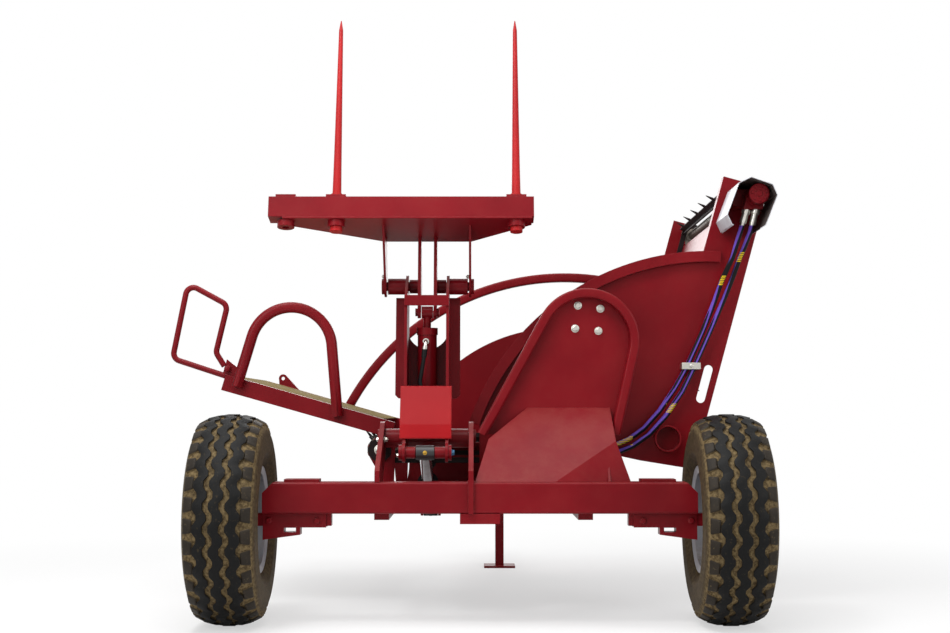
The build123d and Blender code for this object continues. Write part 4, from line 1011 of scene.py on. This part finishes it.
@dataclass
class Studio:
    """Camera, lamps, floor and background."""

    frame: AxleFrame
    eye: Point = (-20.0, -6200.0, 851.0)
    pitch: float = 3.59
    lens: float = 58.0
    fill: float = 0.36
    white: float = 1.0
    # Columns: name, place, aim, size in metres and power in watts
    lamps: tuple[tuple[str, Point, Point, float, float], ...] = (
        ("sky", (-600.0, -700.0, 5200.0), (0.0, 400.0, 700.0), 5.0, 250.0),
        ("front", (-3600.0, -5200.0, 3300.0), (0.0, 300.0, 800.0), 3.0, 140.0),
        ("side", (4200.0, -2600.0, 2600.0), (0.0, 500.0, 800.0), 2.4, 70.0),
        ("glint", (-1500.0, -1800.0, 4600.0), (-200.0, 300.0, 1000.0), 0.9, 55.0),
        ("back", (-800.0, 6400.0, 3200.0), (0.0, 800.0, 900.0), 3.0, 110.0))

    def camera(self) -> None:
        """Stand the camera where the photograph was taken."""
        data = bpy.data.cameras.new("photo_camera")
        data.lens = self.lens
        data.sensor_width = 36.0
        camera = bpy.data.objects.new("photo_camera", data)
        bpy.context.collection.objects.link(camera)
        camera.location = self.frame.at(*self.eye)
        camera.rotation_euler = (math.radians(90.0 + self.pitch), 0.0, 0.0)
        bpy.context.scene.camera = camera

    def light(self) -> None:
        """Hang soft square lamps."""
        for name, place, aim, size, power in self.lamps:
            data = bpy.data.lights.new(name, "AREA")
            data.shape = "SQUARE"
            data.size = size
            data.energy = power
            lamp = bpy.data.objects.new(name, data)
            bpy.context.collection.objects.link(lamp)
            lamp.location = self.frame.at(*place)
            way = self.frame.at(*aim) - lamp.location
            lamp.rotation_euler = way.to_track_quat("-Z", "Y").to_euler()

    def world(self) -> None:
        """Set a white background over a softer fill light."""
        world = bpy.data.worlds.new("studio")
        bpy.context.scene.world = world
        world.use_nodes = True
        tree = world.node_tree
        tree.nodes.clear()
        path = tree.nodes.new("ShaderNodeLightPath")
        seen = path.outputs["Is Camera Ray"]
        for name in ("Is Glossy Ray", "Is Transmission Ray"):
            both = tree.nodes.new("ShaderNodeMath")
            both.operation = "MAXIMUM"
            tree.links.new(seen, both.inputs[0])
            tree.links.new(path.outputs[name], both.inputs[1])
            seen = both.outputs[0]
        mix = tree.nodes.new("ShaderNodeMixShader")
        tree.links.new(seen, mix.inputs[0])
        for number, strength in ((1, self.fill), (2, self.white)):
            sky = tree.nodes.new("ShaderNodeBackground")
            sky.inputs["Color"].default_value = (1.0, 1.0, 1.0, 1.0)
            sky.inputs["Strength"].default_value = strength
            tree.links.new(sky.outputs[0], mix.inputs[number])
        end = tree.nodes.new("ShaderNodeOutputWorld")
        tree.links.new(mix.outputs[0], end.inputs[0])

    def floor(self) -> None:
        """Lay a pale floor that fades into the background."""
        Bench.clear()
        bpy.ops.mesh.primitive_plane_add(size=60.0)
        ground = bpy.context.object
        ground.name = "studio_floor"
        Bench.edit(ground)
        bpy.ops.mesh.subdivide(number_cuts=4)
        Bench.done()
        graph = Graph("studio_floor")
        across, along, _ = graph.axes()
        far = (across * across + along * along).maths("SQRT").ramp(1.4, 4.2)
        seen = graph.make("ShaderNodeLightPath", out="Is Camera Ray")
        diffuse = graph.make("ShaderNodeBsdfDiffuse", None, {"Color": (0.82, 0.82, 0.82, 1.0)})
        glow = graph.make("ShaderNodeEmission", None, {"Color": (1.0, 1.0, 1.0, 1.0), "Strength": 1.0})
        share = (far * 0.45 + 0.55) * seen
        body = graph.make("ShaderNodeMixShader", None, {0: share, 1: diffuse, 2: glow})
        graph.make("ShaderNodeOutputMaterial", None, {"Surface": body})
        ground.data.materials.append(graph.material)

    def build(self) -> None:
        """Set up the whole studio."""
        bpy.context.scene.view_settings.view_transform = "Standard"
        self.camera()
        self.light()
        self.world()
        self.floor()


@dataclass
class Feeder:
    """The whole machine: its solids' finishes and the pieces added to them."""

    nodes: dict[str, bpy.types.Object]
    frame: AxleFrame
    palette: Palette
    half_track: float = HALF_TRACK
    tyre_radius: float = TYRE_RADIUS
    nut_count: int = 6
    nut_ring: float = 73.0
    nut_face: float = 23.0
    finishes: dict[str, Finish] = field(default_factory=lambda: {
        "rim_left": Finish.WHEEL, "rim_right": Finish.WHEEL, "hub_left": Finish.BLACK,
        "hub_right": Finish.BLACK, "arm_cover_plate": Finish.COVER, "tine_left": Finish.TINE,
        "tine_right": Finish.TINE,
        "lift_rod": Finish.CHROME, "motor_guard": Finish.GUARD, "hoses": Finish.HOSE,
        "hose_clamp": Finish.ZINC, "tail_shaft": Finish.STEEL, "drive_shaft": Finish.STEEL,
        "shaft_bearings": Finish.SLAT, "conveyor_chains": Finish.SLAT, "conveyor_slats": Finish.SLAT,
        "platform_floor": Finish.FLOOR, "lift_barrel": Finish.BLACK, "tilt_hose": Finish.ARM_HOSE})

    def dress_solids(self) -> None:
        """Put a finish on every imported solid."""
        for name, piece in self.nodes.items():
            self.palette.dress(piece, self.finishes.get(name, Finish.FRAME))
            log.info("finish on %s", name)

    def add(self, piece: bpy.types.Object, body: str, finish: Finish, slot: str) -> bpy.types.Object:
        """Dress a new piece and let it ride on a body.

        Args:
            piece: the piece.
            body: the body that it moves with.
            finish: its finish.
            slot: the record's slot that the finish belongs to; not used.

        Returns:
            The piece.
        """
        self.palette.dress(piece, finish)
        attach(piece, body)
        log.info("piece %s on %s, %d faces", piece.name, body, len(piece.data.polygons))
        return piece

    def tyres(self) -> None:
        """Replace the plain tyres by ribbed ones."""
        left = Tyre(self.frame.at(-self.half_track, 0.0, self.tyre_radius)).build("ribbed_tyre_left")
        right = left.copy()
        right.data = left.data.copy()
        right.name = right.data.name = "ribbed_tyre_right"
        bpy.context.collection.objects.link(right)
        right.data.transform(Matrix.Translation((2 * self.half_track * MM, 0.0, 0.0)))
        for side, piece in (("left", left), ("right", right)):
            self.add(piece, f"wheel_{side}", Finish.TYRE, "tyre")
            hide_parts(f"tyre_{side}")

    def tubes(self) -> None:
        """Replace the sharp bent tubes by rounded ones."""
        for tube in TUBES:
            piece = self.add(tube.build(self.nodes[tube.node]), "chassis", Finish.FRAME, "frame_maroon")
            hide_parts(tube.node)

    def bolts(self) -> None:
        """Add the bolts, caps and nuts that show."""
        kit = Fasteners(self.frame)
        cap = MotorCap(self.frame)
        self.add(cap.build(), "chassis", Finish.FRAME, "frame_maroon")
        for row in BOLT_ROWS:
            piece = kit.place(kit.bolt(*row.size), row.seats, row.name)
            self.add(piece, row.body, row.finish, row.slot)
        screws = kit.place(kit.bolt(10, 5, 6, 0), cap.screw_seats(), "motor_cap_screws")
        self.add(screws, "chassis", Finish.FRAME, "frame_maroon")
        for side, sign in (("left", -1.0), ("right", 1.0)):
            nuts = []
            for number in range(self.nut_count):
                turn = 2 * math.pi * number / self.nut_count + 0.2
                place = (sign * (self.half_track + self.nut_face), self.nut_ring * math.cos(turn),
                         self.tyre_radius + self.nut_ring * math.sin(turn))
                nuts.append((place, (sign, 0.0, 0.0)))
            piece = kit.place(kit.bolt(24, 16, 15, 10), nuts, f"wheel_nuts_{side}")
            self.add(piece, f"wheel_{side}", Finish.ZINC, "clamp_zinc")

    def welds(self) -> None:
        """Lay the weld beads that show."""
        kit = Fasteners(self.frame)
        for row in WELD_ROWS:
            self.add(kit.weld(row.lines, row.radius, row.name), row.body, Finish.FRAME, "frame_maroon")


def main() -> None:
    """Load the solids, dress them, add the pieces and set up the studio."""
    logging.basicConfig(level=logging.INFO, format="%(name)s: %(message)s")
    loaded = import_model()
    frame = AxleFrame.from_axle()
    axle = frame.at(0.0, 0.0, TYRE_RADIUS)
    eye = frame.at(*ROD_EYE)
    motor = frame.at(*GUARD_MIDDLE)
    feeder = Feeder(loaded["nodes"], frame, Palette(tuple(axle), tuple(eye), tuple(motor)))
    feeder.dress_solids()
    feeder.tyres()
    feeder.tubes()
    feeder.bolts()
    feeder.welds()
    Studio(frame).build()


if __name__ == "__main__":
    main()
